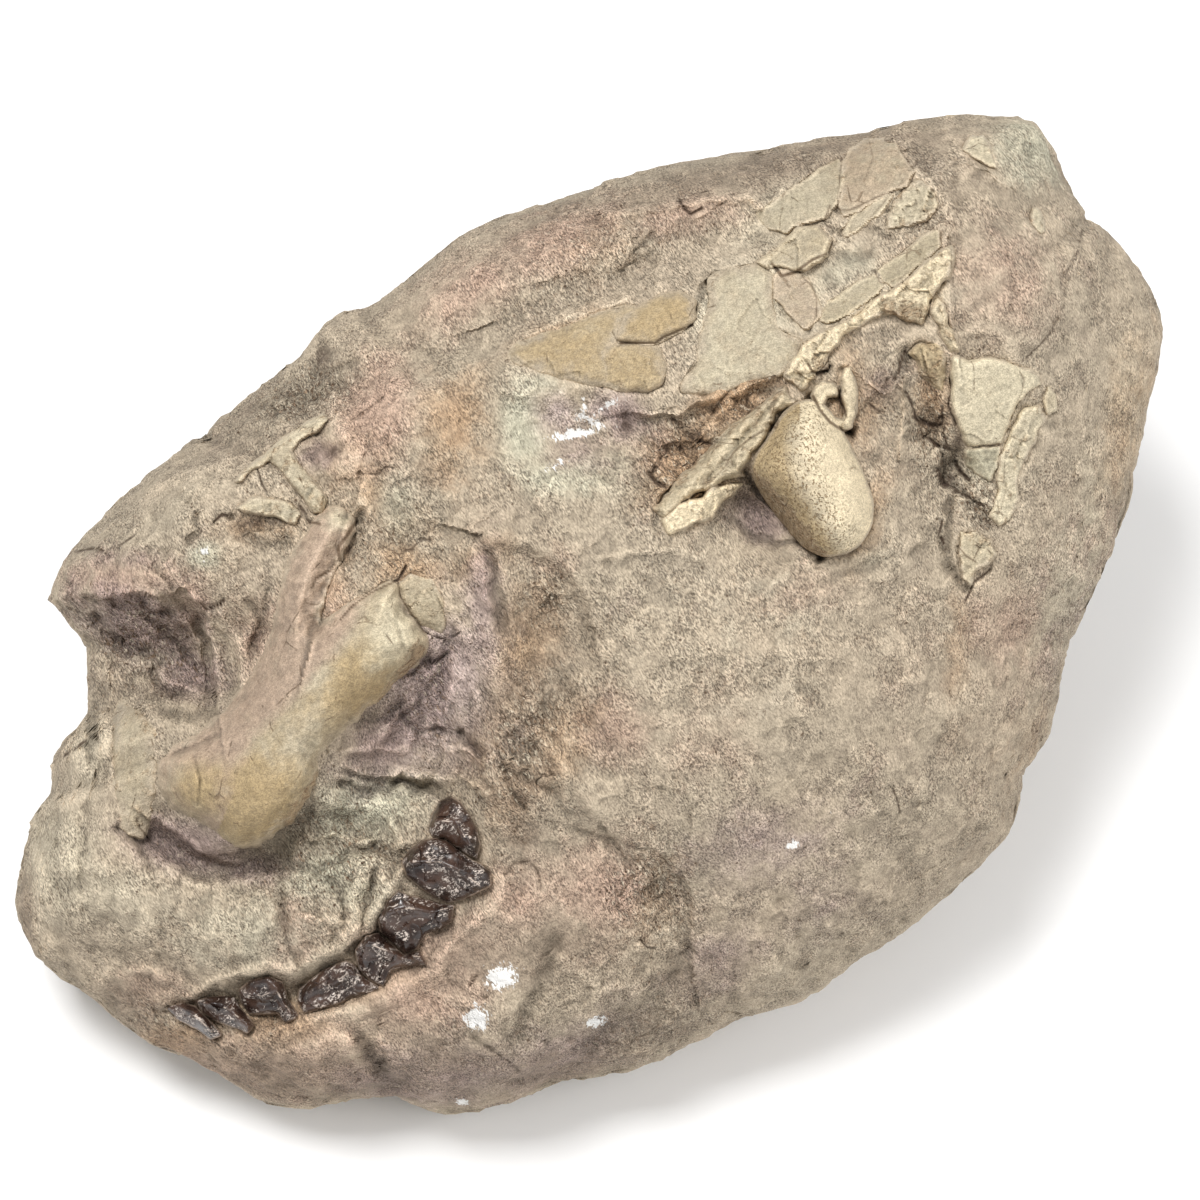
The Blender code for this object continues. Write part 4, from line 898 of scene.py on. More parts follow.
def move(verts, points):
    """Put a bmesh's points where they are told to be."""
    for v, point in zip(verts, points):
        v.co = point


def attribute(mesh, name, values):
    layer = mesh.attributes.new(name, "FLOAT", "POINT")
    layer.data.foreach_set("value", np.asarray(values, np.float32))


def cavity(mesh, rounds):
    """How far each point lies below the mean of its neighbours, in millimetres."""
    pairs = np.zeros(len(mesh.edges) * 2, int)
    mesh.edges.foreach_get("vertices", pairs)
    a, b = pairs.reshape(-1, 2).T
    size = len(mesh.vertices)
    count = np.bincount(a, minlength=size) + np.bincount(b, minlength=size)
    points = coords(mesh)
    soft = points.copy()
    for _ in range(rounds):
        total = np.empty_like(soft)
        for axis in range(3):
            total[:, axis] = np.bincount(a, soft[b, axis], size) + np.bincount(b, soft[a, axis], size)
        soft = total / count[:, None]
    return np.einsum("ij,ij->i", soft - points, normals(mesh)) / MM


def finished(bm, name, crease):
    """A bmesh as a smooth mesh, sharp where it turns by more than its crease."""
    mesh = bpy.data.meshes.new(name)
    bm.to_mesh(mesh)
    bm.free()
    mesh.shade_smooth()
    mesh.set_sharp_from_angle(angle=math.radians(crease))
    return mesh


# ---- the nodule -----------------------------------------------------------------------------------

# Tinted patches: middle, size, turn, strength.
TINTS = {
    "pink": [
        ((-26, 62), (17, 7), 32, 0.7), ((-8, 72), (20, 7), 22, 0.75), ((16, 77), (14, 5), 15, 0.7),
        ((-45, 37), (9, 13), -20, 0.95), ((-54, 29), (4, 5), 0, 0.6), ((80, 64), (15, 15), 0, 0.55),
        ((3, -26), (11, 8), 0, 0.7), ((0, -58), (14, 13), 0, 0.8), ((-12, -58), (13, 12), 0, 0.6),
        ((-32, -73), (20, 13), 20, 0.8), ((-70, -92.4), (28, 8), -5, 0.9), ((-90, -78), (10, 6), 0, 0.7),
        ((-38, -80), (14, 10), 0, 0.8), ((-16, -60), (10, 10), 0, 0.7), ((24, -28), (18, 11), 0, 0.4),
        ((-96, 4), (14, 6), 0, 0.8), ((-82, 0), (5, 12), 0, 0.5), ((-8, 8), (9, 5), 0, 0.4),
        ((11, 28), (12, 6), 0, 0.5), ((82, -8), (9, 13), 0, 0.6), ((98, 12), (12, 17), 0, 0.4),
        ((-54, 0), (5, 12), 0, 0.6), ((60, -20), (20, 20), 0, 0.25), ((-54, -88), (16, 7), 0, 0.6),
        ((-68, -8), (8, 12), 0, 0.5), ((44, 2), (14, 7), 0, 0.4), ((-62, -66), (7, 12), 0, 0.7),
    ],
    "purple": [
        ((-34, -95), (20, 8), 5, 0.9), ((-8, -92), (20, 7), 25, 0.8), ((24, -72), (14, 8), 35, 0.6),
        ((-92, -4.4), (16, 8), -20, 1.0), ((-82, -14.4), (9, 6), -20, 0.9), ((-83, -49), (15, 6), -10, 1.0),
        ((-34, -18), (12, 15), -25, 0.75), ((-43, -29), (11, 8), 30, 0.9), ((-23.2, 0), (4, 13), 0, 0.8),
        ((32, -49), (22, 11), 15, 0.55), ((44, -60), (18, 10), 30, 0.4), ((32.4, 15.6), (8, 5), -30, 0.9),
        ((-56, 29), (5, 4), 20, 0.8), ((1, 40), (6, 4), 0, 0.5), ((97, -8), (12, 22), -20, 0.4),
        ((56, 43), (6, 4), 0, 0.5), ((-26, -28), (10, 10), 0, 0.6), ((5, 37), (5, 6), 10, 0.9),
        ((-5, 30), (9, 5), 0, 0.6), ((10, 8), (8, 20), 0, 0.15), ((-70, -53.6), (9, 4), 0, 0.7),
        ((-96, 8), (10, 3), 0, 0.5),
    ],
    "green": [
        ((-16, 35), (5, 10), 10, 0.9), ((-8, 24), (12, 4), -10, 0.8), ((-12, 43), (9, 3), 0, 0.6),
        ((-40, 19), (5, 9), 0, 0.6), ((-46, -41), (13, 8), 10, 1.0), ((-54, -56), (12, 10), 0, 0.7),
        ((-70, -66), (18, 10), 0, 0.5), ((49.6, 66.8), (9, 4), 30, 0.5), ((26, 54), (12, 10), 0, 0.4),
        ((86.4, 90), (10, 8), -40, 0.9), ((-79.4, 8.8), (4, 3), 0, 0.9), ((76, 27), (5, 5), 0, 0.6),
        ((54, 8), (7, 3), 0, 0.4), ((0, 26), (14, 6), 0, 0.5), ((40, -4), (20, 16), 0, 0.2),
        ((20, 86), (20, 5), 15, 0.3), ((-44, -12), (9, 8), 0, 0.3),
    ],
    "brown": [
        ((-84, -88), (14, 6), 20, 0.8), ((-66, -86), (14, 6), 0, 0.7), ((-16, -10), (8, 16), -20, 0.8),
        ((-8, -28), (8, 14), -30, 0.6), ((-24, 8), (10, 5), 20, 0.5), ((-48, 28), (10, 10), 0, 0.4),
        ((18, 27), (12, 9), 30, 0.95), ((27, 40), (14, 6), 40, 0.9), ((66, 40), (5, 10), 0, 0.7),
        ((51, 40), (8, 12), 0, 0.6), ((106, 36), (7, 24), -8, 0.5), ((-20, -24), (8, 17), -20, 0.6),
        ((11, -60), (9, 12), 0, 0.45), ((-58, -80), (24, 4), 12, 0.6), ((71.6, -10), (4, 20), 0, 0.4),
        ((-51, 12), (3, 8), 0, 0.6), ((92, -28), (10, 20), -30, 0.4), ((54, 16), (4, 12), -20, 0.6),
        ((-67, 14), (10, 4), 0, 0.6), ((-64, -40), (8, 5), 30, 0.5), ((-38, 16), (12, 8), 0, 0.4),
        ((-40, 7), (10, 7), 0, 0.7), ((-29, 34), (9, 14), -15, 0.7), ((-46, 22), (5, 9), 0, 0.5),
        ((-52, 2), (5, 8), 20, 0.5), ((-8, 54), (14, 3), 25, 0.5), ((0, 70), (12, 6), 25, 0.4),
        ((26, 42), (20, 4), 45, 0.3), ((-17, -38), (6, 12), -15, 0.7),
    ],
    # Pale cream patches; the rows on the hollow behind the cheek bone and down the right flank are painted
    # light that lifts places the lamps leave dim.
    "pale": [
        ((-108, -52), (9, 16), 0, 0.8), ((-98, -60), (12, 11), 0, 0.7), ((-72, -66), (22, 9), 5, 0.45),
        ((52, 77), (16, 7), 30, 0.4), ((-82, 20), (18, 6), 30, 0.4), ((20, -10), (30, 26), 0, 0.3),
        ((40, -72), (20, 8), 25, 0.3), ((-24, -72), (9, 6), 0, 0.4), ((-102, -32), (5, 14), -10, 0.6),
        ((-14, 34), (8, 11), 0, 0.7), ((-3, 37), (10, 5), 0, 0.6), ((-4, 23), (12, 3), 0, 0.6),
        ((104, 36), (6, 20), 0, 0.3), ((-51, -54), (10, 10), 0, 0.6), ((38, 77), (17, 8), 33, 0.7),
        ((57, 80), (7, 8), 30, 0.6), ((33, 60), (15, 11), 0, 0.8), ((52, 60), (12, 5), 35, 0.6),
        ((82, 32), (8, 18), -5, 0.5), ((66, 62), (7, 9), 0, 0.6), ((97, 8), (8, 26), -10, 0.7),
        ((106, 40), (6, 20), 0, 0.6), ((8, -8), (16, 20), 0, 0.3), ((-33, -19), (10, 13), 0, 0.7),
        ((-24, -20), (5, 12), 0, 0.5), ((48, 44), (8, 5), 0, 0.4),
    ],
    # A whitish lilac patch by the pit, and painted light that lifts shaded hollows: the one behind the cheek
    # bone and the one under the brow.
    "lilac_and_painted_light": [
        ((-32, -18), (11, 16), -25, 1.0), ((-37, -24), (9, 7), 20, 0.9), ((-8, 37), (6, 5), 0, 0.8),
        ((0, 38), (6, 4), 0, 0.6), ((-24, -4), (5, 12), -10, 0.5), ((-90, -8), (12, 6), -20, 0.3),
        ((36, -50), (10, 5), 20, 0.4),
    ],
    # Painted shade: darkening over the top band, the jaw, the parts under the teeth and other places the
    # lamps leave dim.
    "painted_shade": [
        ((-76, -66), (26, 10), 5, 0.35), ((-108, -52), (8, 16), 0, 0.3), ((-30, -72), (9, 7), 10, 0.8),
        ((80, 68), (10, 12), 0, 0.3), ((-16, -46), (9, 9), 0, 0.8), ((50, 77), (20, 6), 25, 0.3),
        ((-90, -80), (14, 8), 20, 0.7), ((-66, -95), (22, 8), 5, 0.9), ((-44, -80), (10, 8), 0, 0.5),
        ((20, -77), (12, 8), 30, 0.6), ((-16, -20), (9, 13), -30, 0.8), ((-48, 30), (7, 7), 0, 0.5),
        ((-12, -71), (22, 8), 15, 0.75), ((-22, -94), (15, 8), 5, 0.6), ((-15, -34), (7, 14), -15, 0.7),
        ((-100, -66), (10, 8), 0, 0.5), ((-80, -84), (12, 5), 0, 0.5), ((-52, -96), (14, 6), 0, 0.5),
        ((34, -64), (12, 7), 25, 0.4), ((-36, 26), (7, 8), 0, 0.4), ((36, 87), (26, 4.5), 14, 0.9),
        ((18, 83), (16, 4), 12, 0.9), ((60, 90), (14, 5), 8, 0.6), ((-8, 78), (16, 3), 24, 0.5),
        ((-70, 34), (16, 8), 35, 0.5), ((-104, -40), (6, 14), 0, 0.3), ((-8, -96), (22, 7), 10, 0.8),
        ((4, -90), (20, 7), 25, 0.7), ((-115.2, -64), (3, 14), 0, 0.8), ((-70, -92), (26, 8), -5, 0.9),
        ((-36, -92), (18, 10), 0, 0.8), ((-86, -82), (9, 6), 0, 0.7), ((-32, -72), (10, 8), 0, 0.4),
        ((-60, -97), (18, 5), -10, 0.6), ((72, 80), (6, 12), 0, 0.4), ((-17, -36), (7, 13), -15, 0.8),
        ((-16, -4), (9, 12), -20, 0.6), ((-98, -18), (5, 10), 0, 0.5), ((48, 82), (14, 4), 25, 0.3),
    ],
    "chalk": [
        ((-19.6, -75.6), (3.4, 2.6), 20, 1.0), ((-24.8, -83.6), (2.6, 2.6), -40, 1.0),
        ((-0.8, -84.4), (2.4, 1.2), 10, 0.9), ((-27.6, -100.4), (1.4, 0.7), 0, 1.0),
        ((38.6, -49), (1.5, 0.9), 20, 0.9), ((-5.6, 33.2), (5.5, 1.0), 8, 1.0),
        ((-2, 36), (4.5, 1.2), -25, 0.7), ((-3.2, 39.2), (0.8, 2.4), 10, 0.7),
        ((-8.8, 26.8), (4, 1.2), 30, 0.5), ((-79.2, 9.6), (1.4, 1.4), 0, 0.7),
        ((2, 39.2), (4, 1.2), 30, 0.5),
    ],
    # Painted shadow in deep cracks and hollows.
    "dark": [
        ((5.2, 35.2), (1.2, 2.2), 10, 0.9), ((-53.2, 29.6), (2.4, 1.4), 40, 0.8),
        ((69.6, 23.6), (0.9, 2.6), -35, 0.8), ((71.6, 32), (1.4, 2.4), -20, 0.9),
        ((-88, -18.8), (10, 2.0), -8, 0.5), ((30.4, 20.8), (2.5, 5), 45, 0.6),
        ((-55.6, 48.4), (1.6, 3), 0, 0.7), ((-62.4, 17.6), (3, 1.6), 0, 0.9),
        ((19.4, 32.8), (2.4, 1.8), 0, 0.7), ((66, 35.2), (2.4, 1.0), 20, 0.6),
        ((-68, 15.6), (6, 1.2), 5, 0.7), ((-50.8, 11), (1.2, 3), 20, 0.8),
    ],
}
# Places that are smoother than the rest.
CALM = [((-72, 0), (9, 14), 0, 0.6), ((24, -16), (42, 36), 0, 0.35), ((40, 88), (40, 8), 15, 0.4)]


def ball_mesh(cuts):
    """A ball of even triangles: an icosahedron with each edge cut the same number of times."""
    bm = bmesh.new()
    bmesh.ops.create_icosphere(bm, subdivisions=1, radius=1)
    bmesh.ops.subdivide_edges(bm, edges=bm.edges[:], cuts=cuts, use_grid_fill=True)
    mesh = bpy.data.meshes.new("ball")
    bm.to_mesh(mesh)
    bm.free()
    return mesh


def nodule_points(way):
    """Where the points of a ball go on the nodule, most of them on its exposed side."""
    way = way / np.linalg.norm(way, axis=1)[:, None]
    angle = np.arctan2(way[:, 1], way[:, 0])
    edge = math.cos(FRONT_SHARE * math.pi)
    front = way[:, 2] >= edge
    part = np.sqrt(np.clip((1 - way[:, 2]) / (1 - edge), 0, 1))
    r_front = RIM_CROWDING * np.sin(part * math.pi / 2) + (1 - RIM_CROWDING) * part
    part = np.sqrt(np.clip((1 + way[:, 2]) / (1 + edge), 0, 1))
    r = np.where(front, r_front, np.sin(part * math.pi / 2))
    reach = reach_at(angle)
    s, t = reach * r * np.cos(angle), reach * r * np.sin(angle)
    s[front], t[front] = gathered(s[front], t[front])
    n = np.zeros_like(s)
    n[front], _ = fine_ground(s[front], t[front])
    edge_gap, under = seam(s[front], t[front])
    n[front] -= SEAM_DEPTH * edge_gap + BURIED_DEPTH * under
    behind = np.where(front, 0, np.sqrt(np.clip(1 - r * r, 0, 1)))
    uneven = np.where(front, 0, lumps(r * np.cos(angle) * 60, r * np.sin(angle) * 60, 9.5))
    n = np.where(front, n, -BACK_RISE * behind * (1 + BACK_UNEVENNESS * uneven))
    shrink = 1 - BACK_UNEVENNESS * np.abs(uneven) * behind
    return place(s * shrink, t * shrink, n)


def weathering(points):
    """How far each point of the nodule is lifted by its lumps, chips and pits, in metres."""
    mm = points / MM
    s, t, n = drawn(points)
    chipped = patches(s, t, CRUMBLED)
    coarse = (0.85 + 0.4 * np.clip(grain(mm, 30, 3) + 0.2, 0, 1) + 0.6 * chipped) * (1 - patches(s, t, CALM))
    bumps = 0.7 * rough(mm, 12, 4, 0.55, seed=40) - 0.45 * np.abs(rough(mm, 5.0, 3, 0.55, seed=50))
    pits = np.clip(grain(mm, 2.2, 61) - 0.3, 0, 1) * 1.2
    behind = np.clip(-n / 12, 0, 1)
    lift = (bumps * coarse - pits * coarse * 0.7) * (1 + 0.4 * behind) * MM
    back = 1.4 * rough(mm, 30, 3, 0.5, seed=70) - 1.6 * np.abs(rough(mm, 17, 3, 0.5, seed=75))
    return lift + behind * back * MM


def thinned(mesh, triangles):
    """A mesh with fewer triangles, kept where it is uneven."""
    obj = bpy.data.objects.new("rough_block", mesh)
    bpy.context.scene.collection.objects.link(obj)
    obj.modifiers.new("thin", "DECIMATE").ratio = triangles / len(mesh.polygons)
    made = bpy.data.meshes.new_from_object(obj.evaluated_get(bpy.context.evaluated_depsgraph_get()))
    bpy.data.objects.remove(obj)
    return made


def stone(material):
    """The nodule: drawn out from a ball, roughened, thinned where it is plain, and cut flat at the foot."""
    ball = ball_mesh(BALL_CUTS)
    points = nodule_points(coords(ball))
    set_coords(ball, points)
    set_coords(ball, points + normals(ball) * weathering(points)[:, None])

    bm = bmesh.new()
    bm.from_mesh(thinned(ball, NODULE_TRIANGLES))
    everything = bm.verts[:] + bm.edges[:] + bm.faces[:]
    foot = {"plane_co": (0, 0, 0), "plane_no": (0, 0, -1), "clear_outer": True}
    cut = bmesh.ops.bisect_plane(bm, geom=everything, **foot)
    rim = [e for e in cut["geom_cut"] if isinstance(e, bmesh.types.BMEdge)]
    bmesh.ops.holes_fill(bm, edges=rim)
    bmesh.ops.recalc_face_normals(bm, faces=bm.faces[:])
    mesh = finished(bm, "nodule", NODULE_CREASE)

    s, t, n = drawn(coords(mesh))
    front = np.clip(n / 8, 0, 1)
    for name, rows in TINTS.items():
        attribute(mesh, name, patches(s, t, rows) * front)
    attribute(mesh, "seam", seam(s, t)[0] * front)
    attribute(mesh, "crack", cracked(s, t)[0] * front)
    attribute(mesh, "chipped", patches(s, t, CRUMBLED) * front)
    # The carved and cavity values drive painted shade in grooves and hollows and painted highlight on ridges.
    attribute(mesh, "carved", np.clip(fine_ground(s, t)[1] / 1.6, -1, 1) * front)
    attribute(mesh, "cavity", np.clip(cavity(mesh, 3) / 0.5, -1, 1))
    put("nodule", mesh, material, "matrix_block", "mudstone")


# ---- bones and teeth ------------------------------------------------------------------------------


def ragged_edge(outline, look, seed):
    """A function that gives the distance from a bone's chipped and nicked edge, positive inside it."""

    def distance(s, t):
        flat = flat_points(s, t)
        nicks = look["chip"] * (1.6 * np.abs(grain(flat, 4.0, seed + 11)) - 0.5)
        return inside(s, t, outline) + look["grow"] + look["chip"] * rough(flat, 4.5, 3, 0.5, seed) - nicks

    return distance


def bone_sheet(outline, spacing, distance):
    """A fine grid cut to a bone's edge, with the drawing positions of its points and which are at the rim."""
    ps, pt = np.array(outline).T
    low_s, low_t = ps.min() - GRID_MARGIN, pt.min() - GRID_MARGIN
    wide, tall = ps.max() + GRID_MARGIN - low_s, pt.max() + GRID_MARGIN - low_t
    bm = bmesh.new()
    bmesh.ops.create_grid(bm, x_segments=int(wide / spacing), y_segments=int(tall / spacing), size=0.5)
    bmesh.ops.triangulate(bm, faces=bm.faces[:])

    def positions():
        co = np.array([v.co for v in bm.verts])
        return low_s + (co[:, 0] + 0.5) * wide, low_t + (co[:, 1] + 0.5) * tall

    outside = distance(*positions()) < -0.45 * spacing
    bmesh.ops.delete(bm, geom=[v for v, off in zip(bm.verts[:], outside) if off], context="VERTS")
    bmesh.ops.delete(bm, geom=[v for v in bm.verts if not v.link_faces], context="VERTS")
    s, t = positions()
    rim = np.array([v.is_boundary for v in bm.verts])
    for _ in range(3):
        d, h = distance(s, t), 0.05
        gs = (distance(s + h, t) - distance(s - h, t)) / (2 * h)
        gt = (distance(s, t + h) - distance(s, t - h)) / (2 * h)
        step = d / np.maximum(gs * gs + gt * gt, 0.3)
        s, t = np.where(rim, s - step * gs, s), np.where(rim, t - step * gt, t)
    return bm, s, t, rim


def bone_heights(s, t, d, rise, look, seed):
    """Heights of a bone's face at its drawing positions, each at a distance d from its edge."""
    flat = flat_points(s, t)
    x = np.clip(d / look["edge"], 0, 1)
    rounded = np.sqrt(np.clip(1 - (1 - x) ** 2, 0, 1))
    across = (s - s.mean()) - (t - t.mean())
    pits = np.clip(grain(flat, 1.6, seed + 5) - 0.3, 0, 1)
    crumbs = rough(flat, 2.4, 3, 0.6, seed + 7) + 0.8 * facets(s, t, 1.6, seed + 1)
    n = middle_ground(s, t)[0] + rise * (look["wall"] + (1 - look["wall"]) * rounded - look["sink"])
    n = n + look["shape"](s, t, d)
    n = n + look["lean"] * across / np.ptp(across)
    n = n + look["plates"] * facets(s + 0.6 * grain(flat, 4, seed), t, 5.5, seed)
    n = n + look["ripple"] * (rough(flat, 7, 4, 0.5, seed + 3) - 0.6 * pits)
    return n + look["crumbs"] * crumbs - 0.5 * cracked(s, t)[1]


def ordered(bm):
    """Edges and faces in the order of their points, so that every run gives the same mesh."""
    count = len(bm.verts)
    bm.verts.index_update()

    def rank(element):
        key = 0
        for index in sorted(v.index for v in element.verts)[:3]:
            key = key * count + index
        return key

    bm.edges.sort(key=rank)
    bm.faces.sort(key=rank)


def add_walls(bm):
    """Walls from a bone's edge down into the stone, and an underside."""
    made = bmesh.ops.extrude_face_region(bm, geom=bm.faces[:])["geom"]
    top = {v for v in made if isinstance(v, bmesh.types.BMVert)}
    below = [v for v in bm.verts if v not in top]
    s, t, n = drawn(np.array([v.co for v in below]))
    move(below, place(s, t, np.minimum(middle_ground(s, t)[0] - WALL_DEPTH, n - LEAST_THICKNESS)))
    ordered(bm)
    bmesh.ops.recalc_face_normals(bm, faces=bm.faces[:])


def bone(name, rise, look, outline, material, slot):
    """A bone or tooth on its piece of a fine grid, rounded at its edge, with walls down into the stone."""
    seed = sum(map(ord, name)) % 97
    distance = ragged_edge(outline, look, seed)
    bm, s, t, rim = bone_sheet(outline, look["spacing"], distance)
    d = np.where(rim, 0, np.maximum(distance(s, t), 0))
    move(bm.verts, place(s, t, bone_heights(s, t, d, rise, look, seed)))
    add_walls(bm)
    mesh = finished(bm, name, BONE_CREASE)

    s, t, _ = drawn(coords(mesh))
    d = np.maximum(inside(s, t, outline) + look["grow"], 0)
    attribute(mesh, "rim", np.exp(-d / look["blend"]))
    attribute(mesh, "cavity", np.clip(cavity(mesh, 2) / 0.35, -1, 1))
    attribute(mesh, "crack", cracked(s, t)[0])
    # A tooth's crest line, kept for the painted highlight along it.
    if look["line"]:
        attribute(mesh, "ridge", np.exp(-((side_of(s, t, look["line"]) / 0.4) ** 2)))
    for key in ("ochre", "pink", "pale", "green", "earth", "pitted"):
        share = look[key](s, t) if callable(look[key]) else np.full_like(s, look[key])
        attribute(mesh, key, np.clip(share, 0, 1))
    put(name + "_fine", mesh, material, name, slot)


# ---- materials ------------------------------------------------------------------------------------


def tint(red, green, blue):
    """A colour given in 0 to 255 as the studio light shows it, as the share of light it sends back."""
    share = []
    for c in (red / 255, green / 255, blue / 255):
        linear = c / 12.92 if c <= 0.04045 else ((c + 0.055) / 1.055) ** 2.4
        share.append(linear / STUDIO_GAIN)
    return tuple(share)


class Shade:
    """A material whose nodes are made by short calls. Sizes are in millimetres."""

    def __init__(self, name):
        self.material = bpy.data.materials.new(name)
        self.material.use_nodes = True
        self.nodes = self.material.node_tree.nodes
        self.links = self.material.node_tree.links
        self.shader = self.nodes["Principled BSDF"]
        self.where = self.nodes.new("ShaderNodeTexCoord").outputs["Object"]
        self.normal = None

    def set(self, socket, value):
        """Join a socket to another, or give it a value. Nothing happens where the value is None."""
        if isinstance(value, bpy.types.NodeSocket):
            self.links.new(value, socket)
        elif isinstance(value, tuple) and len(value) == 3 and socket.type == "RGBA":
            socket.default_value = (*value, 1)
        elif value is not None:
            socket.default_value = value

    def node(self, kind, inputs, **settings):
        made = self.nodes.new("ShaderNode" + kind)
        for key, value in settings.items():
            setattr(made, key, value)
        for key, value in inputs.items():
            self.set(made.inputs[key], value)
        return made

    def attr(self, name):
        return self.node("Attribute", {}, attribute_name=name).outputs["Fac"]

    def moved(self, offset, stretch=(1, 1, 1), turn=(0, 0, 0)):
        """The place of a point, moved, stretched and turned, so that two patterns don't coincide."""
        inputs = {"Location": (offset, offset * 0.7, offset * 1.3), "Rotation": turn, "Scale": stretch}
        return self.node("Mapping", {"Vector": self.where, **inputs}).outputs["Vector"]

    def bent(self, size, amount):
        """The place of a point, pushed about by noise of a size, so that straight cells turn ragged."""
        push = self.node("TexNoise", {"Vector": self.where, "Scale": 1000 / size}).outputs["Color"]
        centred = self.node("VectorMath", {0: push, 1: (0.5, 0.5, 0.5)}, operation="SUBTRACT")
        inputs = {0: centred.outputs["Vector"], 1: (amount * MM,) * 3, 2: self.where}
        return self.node("VectorMath", inputs, operation="MULTIPLY_ADD").outputs["Vector"]

    def noise(self, size, detail=4, roughness=0.55, distortion=0.0, vector=None):
        inputs = {"Scale": 1000 / size, "Detail": detail, "Roughness": roughness, "Distortion": distortion}
        return self.node("TexNoise", {"Vector": vector or self.where, **inputs}).outputs["Fac"]

    def cells(self, size, feature="F1", vector=None):
        inputs = {"Vector": vector or self.where, "Scale": 1000 / size}
        return self.node("TexVoronoi", inputs, feature=feature).outputs["Distance"]

    def span(self, value, low, high, start=0.0, end=1.0):
        """A value between low and high, as a smooth step from start to end."""
        inputs = {"Value": value, "From Min": low, "From Max": high, "To Min": start, "To Max": end}
        return self.node("MapRange", inputs, interpolation_type="SMOOTHSTEP").outputs["Result"]

    def calc(self, how, a, b=None, clamp=False):
        return self.node("Math", {0: a, 1: b}, operation=how, use_clamp=clamp).outputs["Value"]

    def times(self, a, b, clamp=False):
        return self.calc("MULTIPLY", a, b, clamp)

    def plus(self, a, b):
        return self.calc("ADD", a, b)

    def swing(self, value, gain):
        """A noise as a swing to both sides of nothing."""
        return self.times(self.calc("SUBTRACT", value, 0.5), gain)

    def mix(self, share, a, b, blend="MIX"):
        settings = {"data_type": "RGBA", "blend_type": blend, "clamp_factor": True}
        return self.node("Mix", {0: share, 6: a, 7: b}, **settings).outputs[2]

    def patch(self, name, wander, gain):
        """An attribute's mask with an uneven edge."""
        uneven = self.plus(self.attr(name), self.swing(wander, 1.3))
        return self.times(self.span(uneven, 0.1, 0.95), gain, True)

    def shadowed(self, colour, value, low, high, dark, light):
        """A colour made darker where a value is low and lighter where it is high."""
        level = self.span(value, low, high, dark, light)
        grey = self.node("CombineColor", {0: level, 1: level, 2: level})
        return self.mix(1.0, colour, grey.outputs[0], "MULTIPLY")

    def bump(self, height, distance, strength=1.0):
        inputs = {"Height": height, "Distance": distance * MM, "Strength": strength, "Normal": self.normal}
        self.normal = self.node("Bump", inputs).outputs["Normal"]

    def done(self, colour, roughness, specular):
        finish = {"Base Color": colour, "Roughness": roughness, "Specular IOR Level": specular}
        for key, value in {**finish, "Normal": self.normal}.items():
            self.set(self.shader.inputs[key], value)
        return self.material


ROCK = tint(177, 163, 142)
ROCK_WARM = tint(184, 168, 146)
ROCK_DARK = tint(161, 145, 129)


